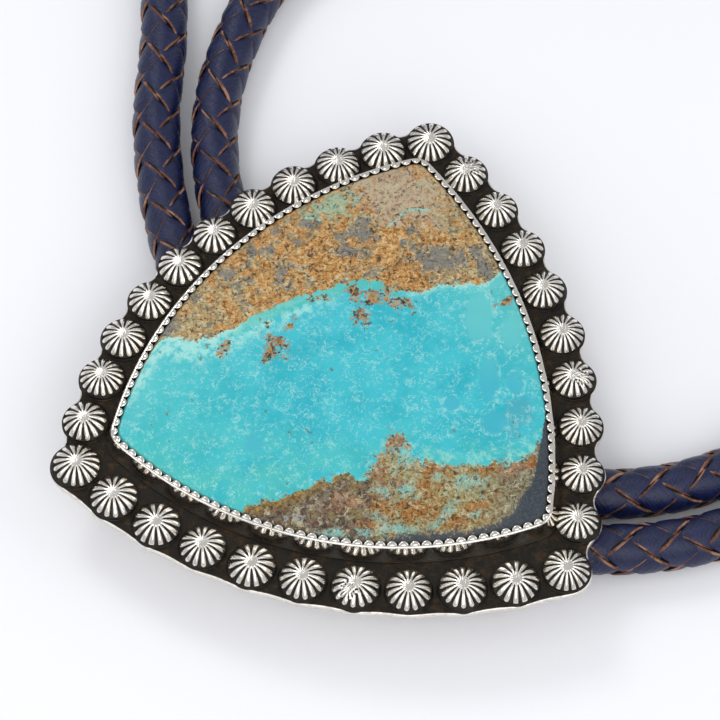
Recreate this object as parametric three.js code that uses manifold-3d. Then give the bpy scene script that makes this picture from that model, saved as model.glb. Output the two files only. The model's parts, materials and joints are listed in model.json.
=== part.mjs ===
// A bolo tie: a turquoise cabochon in a silver setting, a clip behind it, and a braided leather cord.
// Millimetres, +Z up. It lies on its back on the plane z = 0, with the setting's middle at x = y = 0.

import * as THREE from 'three';
import { mergeVertices } from 'three/addons/utils/BufferGeometryUtils.js';
import Module from 'manifold-3d';

const wasm = await Module();
wasm.setup();

// Stone and setting
const stoneLength = 54.0;
const stoneWidth = 52.0;
const cornerTrim = 1.6;
const plateThickness = 0.9;
const plateLip = 0.0;
const scallopPoints = 5;

// The stone's three corners, counter-clockwise, as shares of its length and width.
const stoneCornerShares = [
  { name: 'left', x: -0.5, y: -0.278 },
  { name: 'right', x: 0.5, y: -0.5 },
  { name: 'top', x: 0.2185, y: 0.5 },
];

// The stud on each corner, in millimetres from the stone's own corner.
const cornerStuds = [
  { name: 'left', x: -4.1, y: -2.9 },
  { name: 'right', x: 1.8, y: -5.4 },
  { name: 'top', x: 1.1, y: 3.4 },
];

// The side that follows each corner. A bulge is the height of the side's arc as a share of its chord,
// and the scallop is the depth of the plate's edge between two studs, in millimetres.
const sideShapes = [
  { name: 'lower', stoneBulge: 0.153, studBulge: 0.137, scallop: 0.2 },
  { name: 'right', stoneBulge: 0.111, studBulge: 0.132, scallop: 1.25 },
  { name: 'upper', stoneBulge: 0.146, studBulge: 0.162, scallop: 1.25 },
];

// Bezel, with its toothed edge folded over the stone
const bezelHeight = 2.6;
const bezelThickness = 0.4;
const bezelLean = 0.35;
const toothPitch = 1.4;
const toothReach = 0.95;
const toothRise = 0.5;

// Cabochon
const stoneClearance = 0.3;
const stoneShoulderDrop = 0.45;
const stoneBevelReach = 1.9;
const stoneBevelRise = 0.4;
const stoneDomeRise = 0.6;
const stoneOutlinePoints = 72;

// Fluted studs
const studDiameter = 6.45;
const studPitch = 6.43;
const studHeight = 2.0;
const studPetals = 16;
const studRimHeight = 0.45;
const starDiameter = 5.5;
const starHeight = 0.95;
const fluteDepth = 0.3;
const crownDiameter = 1.6;
const crownHeight = 1.85;

// Cord, clip and tips
const cordDiameter = 6.4;
const cordSides = 8;
const cordSteps = 72;
const passClearance = 0.3;
const clipLength = 20.0;
const clipFloor = 0.8;
const clipRoof = 0.6;
const clipWeb = 0.6;
const clipWall = 1.0;
const clipX = 3.35;
const clipY = -4.6;
const clipTurn = THREE.MathUtils.degToRad(-39);
const channelSegments = 20;
const seatGap = 0.3;
const tipLength = 45.0;
const tipWall = 0.5;
const tipEndDiameter = 4.2;
const tipSocketDepth = 9.0;
const tipSides = 16;

// The cord's route, from the mouth of one tip to the mouth of the other.
const cordRoute = [
  [69.6, 22.0, 4.1], [68.6, 12.0, 4.1], [64.8, 1.0, 3.4], [57.0, -8.0, 3.25],
  [46.6, -13.6, 3.25], [34.6, -15.5, 3.25],
  [24.2, -13.8, 3.8], [15.1, -9.2, 4.3], [5.7, -1.6, 4.3], [-3.6, 5.9, 4.3],
  [-9.4, 12.8, 3.8], [-13.6, 24.6, 3.3], [-15.2, 37.0, 3.25], [-13.4, 49.4, 3.25],
  [-6.6, 64.0, 3.25], [8.4, 75.4, 3.25], [28.0, 78.2, 3.25], [50.0, 81.8, 3.25], [68.4, 94.0, 3.25],
  [77.8, 115.0, 3.25], [77.2, 140.0, 3.25], [66.2, 163.0, 3.25], [45.0, 178.0, 3.25], [19.0, 180.0, 3.25],
  [-5.4, 169.8, 3.25], [-23.0, 150.0, 3.25], [-31.0, 124.0, 3.25], [-29.6, 98.0, 3.25], [-23.8, 75.0, 3.25],
  [-22.3, 54.0, 3.25], [-22.9, 38.6, 3.25], [-21.0, 24.0, 3.4], [-16.6, 10.8, 3.9],
  [-8.4, 0.0, 4.3], [1.0, -7.6, 4.3], [10.3, -15.1, 4.3],
  [20.4, -20.8, 3.7], [34.0, -23.1, 3.25], [48.0, -21.2, 3.25], [62.0, -14.4, 3.25],
  [72.6, -4.4, 3.25], [78.2, 7.4, 3.6], [79.8, 18.0, 4.1], [80.0, 28.0, 4.1],
];

// Heights that follow from the sizes above
const channelRadius = cordDiameter / 2 + passClearance;
const channelHeight = clipFloor + channelRadius;
const channelSpacing = 2 * channelRadius + clipWeb;
const clipTop = channelHeight + channelRadius + clipRoof;
const plateBottom = clipTop + seatGap;
const plateTop = plateBottom + plateThickness;
const rootDepth = plateThickness / 4;

// Materials
const silver = { color: 0xc9c7c2, roughness: 0.3, metalness: 1.0 };
const darkSilver = { color: 0x8f8d88, roughness: 0.4, metalness: 1.0 };
const turquoise = { color: 0x45bfc4, roughness: 0.35, metalness: 0.0 };
const leather = { color: 0x1f2745, roughness: 0.5, metalness: 0.0 };

// Joins rings of points into one closed surface. Each ring runs counter-clockwise seen from above and
// the rings go up the outside. A ring may have one point, or twice or half as many as the one before.
function loft(rings, wrapped = false) {
  const positions = [];
  const triangle = (a, b, c) => [a, b, c].forEach((p) => positions.push(p.x, p.y, p.z));
  const bridge = (low, high) => {
    const steps = Math.max(1, Math.min(low.length, high.length));
    const split = (ring) => Math.round(ring.length / steps);
    const at = (ring, i) => ring[i % ring.length];
    if (low.length === 1 || high.length === 1) {
      const count = Math.max(low.length, high.length);
      for (let i = 0; i < count; i += 1) {
        if (low.length === 1) triangle(low[0], at(high, i + 1), high[i]);
        else triangle(low[i], at(low, i + 1), high[0]);
      }
      return;
    }
    for (let i = 0; i < steps; i += 1) {
      if (split(low) === 1 && split(high) === 1) {
        triangle(low[i], at(low, i + 1), at(high, i + 1));
        triangle(low[i], at(high, i + 1), high[i]);
      } else if (split(high) === 2) {
        triangle(low[i], high[2 * i + 1], high[2 * i]);
        triangle(low[i], at(low, i + 1), high[2 * i + 1]);
        triangle(at(low, i + 1), at(high, 2 * i + 2), high[2 * i + 1]);
      } else {
        triangle(low[2 * i], low[2 * i + 1], high[i]);
        triangle(low[2 * i + 1], at(high, i + 1), high[i]);
        triangle(low[2 * i + 1], at(low, 2 * i + 2), at(high, i + 1));
      }
    }
  };
  for (let i = 0; i + 1 < rings.length; i += 1) bridge(rings[i], rings[i + 1]);
  if (wrapped) bridge(rings[rings.length - 1], rings[0]);
  const geometry = new THREE.BufferGeometry();
  geometry.setAttribute('position', new THREE.Float32BufferAttribute(positions, 3));
  return geometry;
}

// Turns a closed geometry into a solid that can be joined and cut.
function solid(geometry) {
  const bare = geometry.clone();
  bare.deleteAttribute('normal');
  bare.deleteAttribute('uv');
  const merged = mergeVertices(bare, 1e-4);
  return new wasm.Manifold(new wasm.Mesh({
    numProp: 3,
    vertProperties: new Float32Array(merged.attributes.position.array),
    triVerts: new Uint32Array(merged.index.array),
  }));
}

// Turns a solid back into a geometry.
function surface(body) {
  const result = body.getMesh();
  const geometry = new THREE.BufferGeometry();
  geometry.setAttribute('position', new THREE.BufferAttribute(result.vertProperties, 3));
  geometry.setIndex(new THREE.BufferAttribute(result.triVerts, 1));
  return geometry;
}

function piece(name, geometry, look) {
  geometry.computeVertexNormals();
  const mesh = new THREE.Mesh(geometry, new THREE.MeshStandardMaterial(look));
  mesh.name = name;
  return mesh;
}

// The arc from one point to another that bulges to the right of the way it runs.
function bulgedSide(from, to, bulge) {
  const chord = from.distanceTo(to);
  const rise = bulge * chord;
  const radius = (chord * chord / 4 + rise * rise) / (2 * rise);
  const along = to.clone().sub(from).divideScalar(chord);
  const inward = new THREE.Vector2(-along.y, along.x);
  const centre = from.clone().add(to).multiplyScalar(0.5).addScaledVector(inward, radius - rise);
  const start = from.clone().sub(centre).angle();
  const half = Math.asin(chord / (2 * radius));
  return { centre, radius, start, sweep: 2 * half, length: 2 * half * radius };
}

function onSide(side, share, outward = 0) {
  const angle = side.start + side.sweep * share;
  const reach = side.radius + outward;
  return new THREE.Vector2(Math.cos(angle), Math.sin(angle)).multiplyScalar(reach).add(side.centre);
}

const stoneCorners = stoneCornerShares.map((corner) => (
  new THREE.Vector2(corner.x * stoneLength, corner.y * stoneWidth)
));
const studCorners = cornerStuds.map((corner, i) => (
  new THREE.Vector2(corner.x, corner.y).add(stoneCorners[i])
));
const next = (list, i) => list[(i + 1) % list.length];
const stoneSides = sideShapes.map((side, i) => (
  bulgedSide(stoneCorners[i], next(stoneCorners, i), side.stoneBulge)
));
const studSides = sideShapes.map((side, i) => (
  bulgedSide(studCorners[i], next(studCorners, i), side.studBulge)
));

// The line along which the bezel folds over the stone: three arcs with rounded corners.
function foldLine(count) {
  const path = new THREE.CurvePath();
  stoneSides.forEach((side, i) => {
    const following = next(stoneSides, i);
    const trim = cornerTrim / side.radius;
    const { centre, radius, start, sweep } = side;
    path.add(new THREE.EllipseCurve(
      centre.x, centre.y, radius, radius, start + trim, start + sweep - trim, false, 0,
    ));
    path.add(new THREE.QuadraticBezierCurve(
      onSide(side, 1 - cornerTrim / side.length),
      next(stoneCorners, i),
      onSide(following, cornerTrim / following.length),
    ));
  });
  return path.getSpacedPoints(count).slice(0, count);
}

// Moves each point of a closed counter-clockwise outline outward, or inward where the distance is negative.
function offset(outline, distance) {
  const count = outline.length;
  return outline.map((point, i) => {
    const before = outline[(i + count - 1) % count];
    const after = outline[(i + 1) % count];
    const along = after.clone().sub(before).normalize();
    const reach = typeof distance === 'function' ? distance(i) : distance;
    return new THREE.Vector2(point.x + along.y * reach, point.y - along.x * reach);
  });
}

const raise = (outline, z) => outline.map((p) => new THREE.Vector3(p.x, p.y, z));

const studCount = (side) => Math.max(2, Math.round(side.length / studPitch));

// Stud places: one on each corner, and the rest evenly along each side.
function studPlaces() {
  return studSides.flatMap((side) => {
    const count = studCount(side);
    return Array.from({ length: count }, (_, k) => ({
      place: onSide(side, k / count),
      turn: side.start + side.sweep * (k / count),
    }));
  });
}

// The plate's edge runs round the studs, with a shallow scallop between each two.
function plateOutline() {
  const reach = studDiameter / 2 + plateLip;
  const points = [];
  studSides.forEach((side, i) => {
    const last = studSides[(i + studSides.length - 1) % studSides.length];
    const from = last.start + last.sweep;
    const fan = THREE.MathUtils.euclideanModulo(side.start - from, 2 * Math.PI);
    for (const share of [0, 1 / 3, 2 / 3]) {
      const angle = from + fan * share;
      const spoke = new THREE.Vector2(Math.cos(angle), Math.sin(angle)).multiplyScalar(reach);
      points.push(studCorners[i].clone().add(spoke));
    }
    const count = studCount(side);
    for (let k = 0; k < count * scallopPoints; k += 1) {
      const notch = Math.sin((Math.PI * (k % scallopPoints)) / scallopPoints) ** 2;
      points.push(onSide(side, k / (count * scallopPoints), reach - sideShapes[i].scallop * notch));
    }
  });
  return points;
}

// A domed button with a star of raised petals, its foot sunk in the plate.
function stud(place, turn) {
  const ring = (count, diameterAt, heightAt) => Array.from({ length: count }, (_, k) => {
    const angle = turn + (2 * Math.PI * k) / count;
    const radius = diameterAt(k) / 2;
    return new THREE.Vector3(
      place.x + radius * Math.cos(angle),
      place.y + radius * Math.sin(angle),
      plateTop + heightAt(k),
    );
  });
  const centre = (height) => [new THREE.Vector3(place.x, place.y, plateTop + height)];
  return solid(loft([
    centre(-rootDepth),
    ring(studPetals, () => studDiameter, () => -rootDepth),
    ring(studPetals, () => studDiameter, () => studRimHeight),
    ring(2 * studPetals, () => starDiameter, (k) => starHeight - (k % 2) * fluteDepth),
    ring(studPetals, () => crownDiameter, () => crownHeight),
    centre(studHeight),
  ]));
}

function bezel() {
  const around = foldLine(400).reduce((sum, p, i, all) => sum + p.distanceTo(all[(i + 1) % all.length]), 0);
  const teeth = Math.round(around / toothPitch);
  const line = foldLine(2 * teeth);
  const isTooth = (i) => i % 2;
  const lip = (i) => -bezelThickness / 2 - isTooth(i) * (toothReach - bezelThickness / 2);
  const lipHeight = (i) => plateTop + bezelHeight + isTooth(i) * toothRise;
  const under = (i) => -bezelThickness - isTooth(i) * (toothReach - bezelThickness);
  const lift = (outline, heightAt) => outline.map((p, i) => new THREE.Vector3(p.x, p.y, heightAt(i)));
  const foot = plateTop - rootDepth;
  return solid(loft([
    raise(offset(line, bezelLean), foot),
    raise(line, plateTop + bezelHeight - bezelThickness / 4),
    lift(offset(line, lip), lipHeight),
    lift(offset(line, under), (i) => lipHeight(i) - bezelThickness * 0.75),
    raise(offset(line, -bezelThickness), plateTop + bezelHeight - bezelThickness),
    raise(offset(line, bezelLean - bezelThickness), foot),
  ], true));
}

// The setting and its stone stand with the middle of the plate's box over the origin.
function centred(mesh) {
  const box = new THREE.Box2().setFromPoints(plateOutline());
  const middle = box.getCenter(new THREE.Vector2());
  mesh.position.set(-middle.x, -middle.y, 0);
  return mesh;
}

function silverSetting() {
  const plate = new THREE.ExtrudeGeometry(new THREE.Shape(plateOutline()), {
    depth: plateThickness,
    bevelEnabled: false,
  });
  plate.translate(0, 0, plateBottom);
  let body = solid(plate).add(bezel());
  for (const { place, turn } of studPlaces()) body = body.add(stud(place, turn));
  return centred(piece('silver_setting', surface(body), silver));
}

// The cabochon: a straight girdle inside the bezel, a bevel under the teeth and a low dome.
function stone() {
  const girdle = offset(foldLine(stoneOutlinePoints), -bezelThickness - stoneClearance);
  const middle = girdle.reduce((sum, p) => sum.add(p), new THREE.Vector2()).divideScalar(girdle.length);
  const bottom = plateTop + stoneClearance;
  const shoulder = plateTop + bezelHeight - stoneShoulderDrop;
  const bevelEdge = plateTop + bezelHeight + stoneBevelRise;
  const bevelShare = 1 - stoneBevelReach / (0.42 * stoneWidth);
  const shrunk = (share, z) => girdle.map((p) => {
    const q = middle.clone().lerp(p, share);
    return new THREE.Vector3(q.x, q.y, z);
  });
  const pole = (z) => [new THREE.Vector3(middle.x, middle.y, z)];
  const domeShares = [0.72, 0.4];
  return centred(piece('stone', loft([
    pole(bottom),
    raise(girdle, bottom),
    raise(girdle, shoulder),
    shrunk(bevelShare, bevelEdge),
    ...domeShares.map((share) => shrunk(share * bevelShare, bevelEdge + stoneDomeRise * (1 - share * share))),
    pole(bevelEdge + stoneDomeRise),
  ]), turquoise));
}

// The back clip: a flat body with one round channel for each run of the cord.
function cordClip() {
  const halfWidth = channelSpacing / 2 + channelRadius + clipWall;
  const section = new THREE.Shape();
  const rounding = channelRadius;
  section.moveTo(-halfWidth + rounding, 0);
  section.lineTo(halfWidth - rounding, 0);
  section.quadraticCurveTo(halfWidth, 0, halfWidth, channelHeight);
  section.quadraticCurveTo(halfWidth, clipTop, halfWidth - rounding, clipTop);
  section.lineTo(-halfWidth + rounding, clipTop);
  section.quadraticCurveTo(-halfWidth, clipTop, -halfWidth, channelHeight);
  section.quadraticCurveTo(-halfWidth, 0, -halfWidth + rounding, 0);
  for (const side of [-1, 1]) {
    const channel = new THREE.Path();
    channel.absarc(side * channelSpacing / 2, channelHeight, channelRadius, 0, 2 * Math.PI, true);
    section.holes.push(channel);
  }
  const body = new THREE.ExtrudeGeometry(section, {
    depth: clipLength,
    bevelEnabled: false,
    curveSegments: channelSegments / 2,
  });
  body.translate(0, 0, -clipLength / 2);
  body.rotateX(Math.PI / 2);
  body.rotateZ(clipTurn + Math.PI / 2);
  body.translate(clipX, clipY, 0);
  return piece('cord_clip', body, darkSilver);
}

const route = new THREE.CatmullRomCurve3(cordRoute.map((p) => new THREE.Vector3(...p)));

function cord() {
  const section = new THREE.Shape();
  for (let k = 0; k < cordSides; k += 1) {
    const angle = (2 * Math.PI * (k + 0.5)) / cordSides;
    const x = (cordDiameter / 2) * Math.cos(angle);
    const y = (cordDiameter / 2) * Math.sin(angle);
    if (k === 0) section.moveTo(x, y);
    else section.lineTo(x, y);
  }
  return piece('cord', new THREE.ExtrudeGeometry(section, { steps: cordSteps, extrudePath: route }), leather);
}

// A tapered metal tip, with a socket that takes the cord's end.
function tip(name, end, inward) {
  const socket = channelRadius;
  const mouth = socket + tipWall;
  const profile = [
    [0, tipSocketDepth],
    [socket, tipSocketDepth],
    [socket, 0],
    [mouth, 0],
    [mouth, tipSocketDepth + 1],
    [mouth * 0.93, tipSocketDepth + 2],
    [tipEndDiameter / 2, tipLength - 2],
    [tipEndDiameter / 3, tipLength - 0.5],
    [0, tipLength],
  ];
  const body = new THREE.LatheGeometry(profile.map(([r, y]) => new THREE.Vector2(r, y)), tipSides);
  const away = end.clone().sub(inward).setZ(0).normalize();
  const mesh = piece(name, body, silver);
  mesh.quaternion.setFromUnitVectors(new THREE.Vector3(0, 1, 0), away);
  mesh.position.copy(end).addScaledVector(away, -(tipSocketDepth - seatGap));
  return mesh;
}

const bolo = new THREE.Group();
bolo.name = 'bolo_tie';
bolo.add(
  silverSetting(),
  stone(),
  cordClip(),
  cord(),
  tip('tip_1', route.getPoint(0), route.getPoint(0.004)),
  tip('tip_2', route.getPoint(1), route.getPoint(0.996)),
);

export default bolo;
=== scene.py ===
# A bolo tie: a turquoise cabochon in a silver setting, on a braided navy leather cord.
# Metres, +Z up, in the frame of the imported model.

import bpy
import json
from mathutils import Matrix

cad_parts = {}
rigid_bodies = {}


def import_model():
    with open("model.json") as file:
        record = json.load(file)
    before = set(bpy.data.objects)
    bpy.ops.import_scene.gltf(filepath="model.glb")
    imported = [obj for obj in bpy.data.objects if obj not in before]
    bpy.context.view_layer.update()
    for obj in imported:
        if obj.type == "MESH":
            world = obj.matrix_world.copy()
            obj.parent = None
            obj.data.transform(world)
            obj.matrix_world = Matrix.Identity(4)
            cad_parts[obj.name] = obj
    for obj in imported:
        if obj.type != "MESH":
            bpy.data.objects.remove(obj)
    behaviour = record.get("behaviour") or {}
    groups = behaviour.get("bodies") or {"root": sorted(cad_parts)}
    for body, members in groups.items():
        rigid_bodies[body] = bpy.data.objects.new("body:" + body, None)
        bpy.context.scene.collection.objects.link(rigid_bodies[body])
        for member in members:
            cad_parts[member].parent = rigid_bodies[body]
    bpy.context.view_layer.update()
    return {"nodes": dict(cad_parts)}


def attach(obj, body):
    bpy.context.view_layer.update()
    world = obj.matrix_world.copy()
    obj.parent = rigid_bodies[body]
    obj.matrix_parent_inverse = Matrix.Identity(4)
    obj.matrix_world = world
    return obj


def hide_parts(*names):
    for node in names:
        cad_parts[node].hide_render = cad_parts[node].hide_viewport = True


bl_info = {
    "name": "Bolo Tie",
    "version": (1, 0, 0),
    "blender": (4, 5, 0),
    "location": "3D View > Sidebar > Bolo Tie",
    "description": "Builds a bolo tie: its stone, silver setting, clip, braided cord and tips",
    "category": "Add Mesh",
}

import json
import math

import bmesh
import bpy
import numpy as np
from bpy.props import FloatProperty, FloatVectorProperty, IntProperty, PointerProperty
from mathutils import Vector

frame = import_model()

MM = 0.001
TAU = 2 * math.pi

# The corners of the stone, counter-clockwise, as shares of its length and width, with the stud on each
# corner in millimetres from it, and the side that follows it. A bulge is the height of an arc as a
# share of its chord, and the scallop is the depth of the plate's edge between two studs, in millimetres.
# The stud share is the size of the side's studs as a share of the full size, which its corner stud has.
CORNERS = [
    {"x": -0.5, "y": -0.278, "stud": (-4.1, -2.9), "stone_bulge": 0.153, "stud_bulge": 0.137, "scallop": 0.2,
     "stud_share": 0.98},
    {"x": 0.5, "y": -0.5, "stud": (1.8, -5.4), "stone_bulge": 0.111, "stud_bulge": 0.132, "scallop": 1.25,
     "stud_share": 0.93},
    {"x": 0.2185, "y": 0.5, "stud": (1.1, 3.4), "stone_bulge": 0.146, "stud_bulge": 0.162, "scallop": 1.25,
     "stud_share": 0.96},
]

# Heights and small sizes of the setting, in millimetres
CORNER_TRIM = 1.6
PLATE_BOTTOM = 8.7
PLATE_THICKNESS = 0.9
PLATE_TOP = PLATE_BOTTOM + PLATE_THICKNESS
ROOT_DEPTH = PLATE_THICKNESS / 4
BEZEL_THICKNESS = 0.4
TOOTH_LIP = -0.32
TOOTH_REACH = 0.86
TOOTH_RISE = 0.22
TOOTH_SHARE = 0.88
TOOTH_SAMPLES = 18
PLATE_ROUNDING = 0.14
STONE_CLEARANCE = 0.3
STONE_BEVEL_REACH = 1.9
STONE_BEVEL_TOP = PLATE_TOP + 3.0
STONE_SHOULDER = PLATE_TOP + 2.5

# The cord's route in millimetres, from its end in the socket of one tip to its end in the other's.
CORD_ROUTE = [
    (69.6, 22.0, 4.1), (68.6, 12.0, 4.1), (64.8, 1.0, 3.4), (57.0, -8.0, 3.25),
    (46.6, -13.6, 3.25), (34.6, -15.5, 3.25),
    (24.2, -13.8, 3.8), (15.1, -9.2, 4.3), (5.7, -1.6, 4.3), (-3.6, 5.9, 4.3),
    (-9.4, 12.8, 3.8), (-13.6, 24.6, 3.3), (-15.2, 37.0, 3.25), (-13.4, 49.4, 3.25),
    (-6.6, 64.0, 3.25), (8.4, 75.4, 3.25), (28.0, 78.2, 3.25), (50.0, 81.8, 3.25), (68.4, 94.0, 3.25),
    (77.8, 115.0, 3.25), (77.2, 140.0, 3.25), (66.2, 163.0, 3.25), (45.0, 178.0, 3.25), (19.0, 180.0, 3.25),
    (-5.4, 169.8, 3.25), (-23.0, 150.0, 3.25), (-31.0, 124.0, 3.25), (-29.6, 98.0, 3.25), (-23.8, 75.0, 3.25),
    (-22.3, 54.0, 3.25), (-22.9, 38.6, 3.25), (-21.0, 24.0, 3.4), (-16.6, 10.8, 3.9),
    (-8.4, 0.0, 4.3), (1.0, -7.6, 4.3), (10.3, -15.1, 4.3),
    (20.4, -20.8, 3.7), (34.0, -23.1, 3.25), (48.0, -21.2, 3.25), (62.0, -14.4, 3.25),
    (72.6, -4.4, 3.25), (78.2, 7.4, 3.6), (79.8, 18.0, 4.1), (80.0, 28.0, 4.1),
]

# A tip's outline: distance from its axis and distance from its mouth, in millimetres.
TIP_OUTLINE = [
    (0.0, 9.0), (3.3, 9.0), (3.5, 8.8), (3.5, 0.15), (3.6, 0.0), (3.88, 0.0), (4.0, 0.12), (4.0, 0.9),
    (3.9, 1.0), (3.9, 1.3), (4.0, 1.4), (4.0, 1.9), (3.9, 2.0), (3.9, 2.3), (4.0, 2.4), (4.0, 9.6),
    (3.98, 10.0), (3.9, 10.4), (3.72, 11.0), (3.3, 19.3), (2.9, 27.2), (2.5, 35.1), (2.15, 42.0),
    (2.08, 43.0), (1.9, 43.8), (1.5, 44.4), (0.8, 44.85), (0.0, 45.0),
]

# How far the cord reaches into a tip, in millimetres, and how many sides a tip has
TIP_SOCKET = 8.7
TIP_SIDES = 64

# A leather strap's section, in millimetres: the radius that it is bent to, the fall of its domed face
# towards its edges, and the widths of its two raw edges, for the straps wound each way
WRAP_RADIUS = 5.4
STRAP_DOME = 0.06
RAW_EDGES = {"up": (0.22, 0.3), "down": (0.22, 0.4)}

# The core that the straps are wound round: its radius in metres, its rings and its sides
CORE_RADIUS = 0.0022
CORE_RINGS = 240
CORE_SIDES = 12

# A stud's dome and flutes, in millimetres. The petals' width is a share of the room that they have.
STUD_SIDES = 128
DOME_DROP = 1.55
DOME_RADIUS = 3.05
DOME_POWER = 2.7
PETAL_SHARE = 0.54
PETAL_END = 2.6
PETAL_ROUNDING = 0.33
FLUTE_DEPTH = 0.3
CREST_DEPTH = 0.03
SLIPPED_PETALS = 13

# The strikes: number of petals, middle of the star, blur of its edges, and middle of a slipped second
# strike; and how often each is used
STRIKES = [
    (15, (0.0, 0.0), 0.0, None), (14, (0.16, 0.1), 0.05, None), (16, (-0.14, 0.12), 0.12, None),
    (17, (0.1, -0.14), 0.0, None), (15, (-0.1, 0.0), 0.0, (0.95, -0.5)),
]
STRIKE_ODDS = (0.3, 0.25, 0.2, 0.17, 0.08)

# The view: millimetres from the frame's origin, degrees over the horizon, and the lens
CAMERA_TARGET = (3.95, 0.05, 9.6)
CAMERA_DISTANCE = 437.5
CAMERA_TILT = 61.5
CAMERA_LENS = 175.0
FLOOR_HALF = 2.5

# Softboxes: name, place and side in metres, and power in watts
LIGHTS = [
    ("Back softbox", (-0.3, 0.5, 0.7), 0.28, 1.3),
    ("Left softbox", (-0.65, -0.3, 0.7), 0.7, 1.8),
    ("Right softbox", (0.7, -0.1, 0.6), 0.5, 1.0),
    ("Front softbox", (0.1, -0.7, 0.75), 0.9, 4.5),
]


def shade(code):
    """The linear colour of a hex code."""
    parts = [int(code[i:i + 2], 16) / 255 for i in (1, 3, 5)]
    return tuple(c / 12.92 if c <= 0.04045 else ((c + 0.055) / 1.055) ** 2.4 for c in parts)


# Sizes and colours that a user would change


class BoloSettingSizes(bpy.types.PropertyGroup):
    stone_length: FloatProperty(
        name="Stone length", description="Length of the stone with its bezel", default=0.054, unit="LENGTH")
    stone_width: FloatProperty(
        name="Stone width", description="Width of the stone with its bezel", default=0.052, unit="LENGTH")
    bezel_height: FloatProperty(
        name="Bezel height", description="Height of the bezel's fold over the plate", default=0.0026,
        unit="LENGTH")
    tooth_pitch: FloatProperty(
        name="Tooth pitch", description="Distance between two teeth of the bezel", default=0.0014,
        unit="LENGTH")
    stud_diameter: FloatProperty(
        name="Stud diameter", description="Diameter of a fluted stud", default=0.00645, unit="LENGTH")
    stud_pitch: FloatProperty(
        name="Stud pitch", description="Distance between two studs along a side", default=0.00643,
        unit="LENGTH")
    stud_height: FloatProperty(
        name="Stud height", description="Height of a stud over the plate", default=0.002, unit="LENGTH")
    dome_rise: FloatProperty(
        name="Dome rise", description="Height of the stone's dome over its bevel", default=0.0006,
        unit="LENGTH")


class BoloCordSizes(bpy.types.PropertyGroup):
    diameter: FloatProperty(
        name="Cord diameter", description="Diameter over the braid", default=0.0064, unit="LENGTH")
    lead: FloatProperty(
        name="Lead", description="Length along the cord of one turn of a strap", default=0.0244,
        unit="LENGTH")
    strap_width: FloatProperty(
        name="Strap width", description="Width of one leather strap", default=0.0038, unit="LENGTH")
    strap_thickness: FloatProperty(
        name="Strap thickness", description="Thickness of one leather strap", default=0.00044,
        unit="LENGTH")
    weave_depth: FloatProperty(
        name="Weave depth", description="How far a strap rises and falls", default=0.00034, unit="LENGTH")
    rings: IntProperty(
        name="Rings", description="Number of sections along the cord", default=1150, min=200, max=1200)


class BoloFinishes(bpy.types.PropertyGroup):
    silver: FloatVectorProperty(
        name="Silver", description="Colour of the polished silver", subtype="COLOR",
        default=(0.87, 0.86, 0.84))
    tarnish: FloatVectorProperty(
        name="Tarnish", description="Colour of the blackened recesses", subtype="COLOR",
        default=(0.018, 0.016, 0.013))
    turquoise: FloatVectorProperty(
        name="Turquoise", description="Main colour of the stone", subtype="COLOR",
        default=shade("#2aadbc"))
    leather: FloatVectorProperty(
        name="Leather", description="Colour of the dyed leather", subtype="COLOR",
        default=shade("#0c153a"))
    raw_edge: FloatVectorProperty(
        name="Raw edge", description="Colour of the leather's cut edges", subtype="COLOR",
        default=shade("#80523f"))


# Node trees


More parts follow.
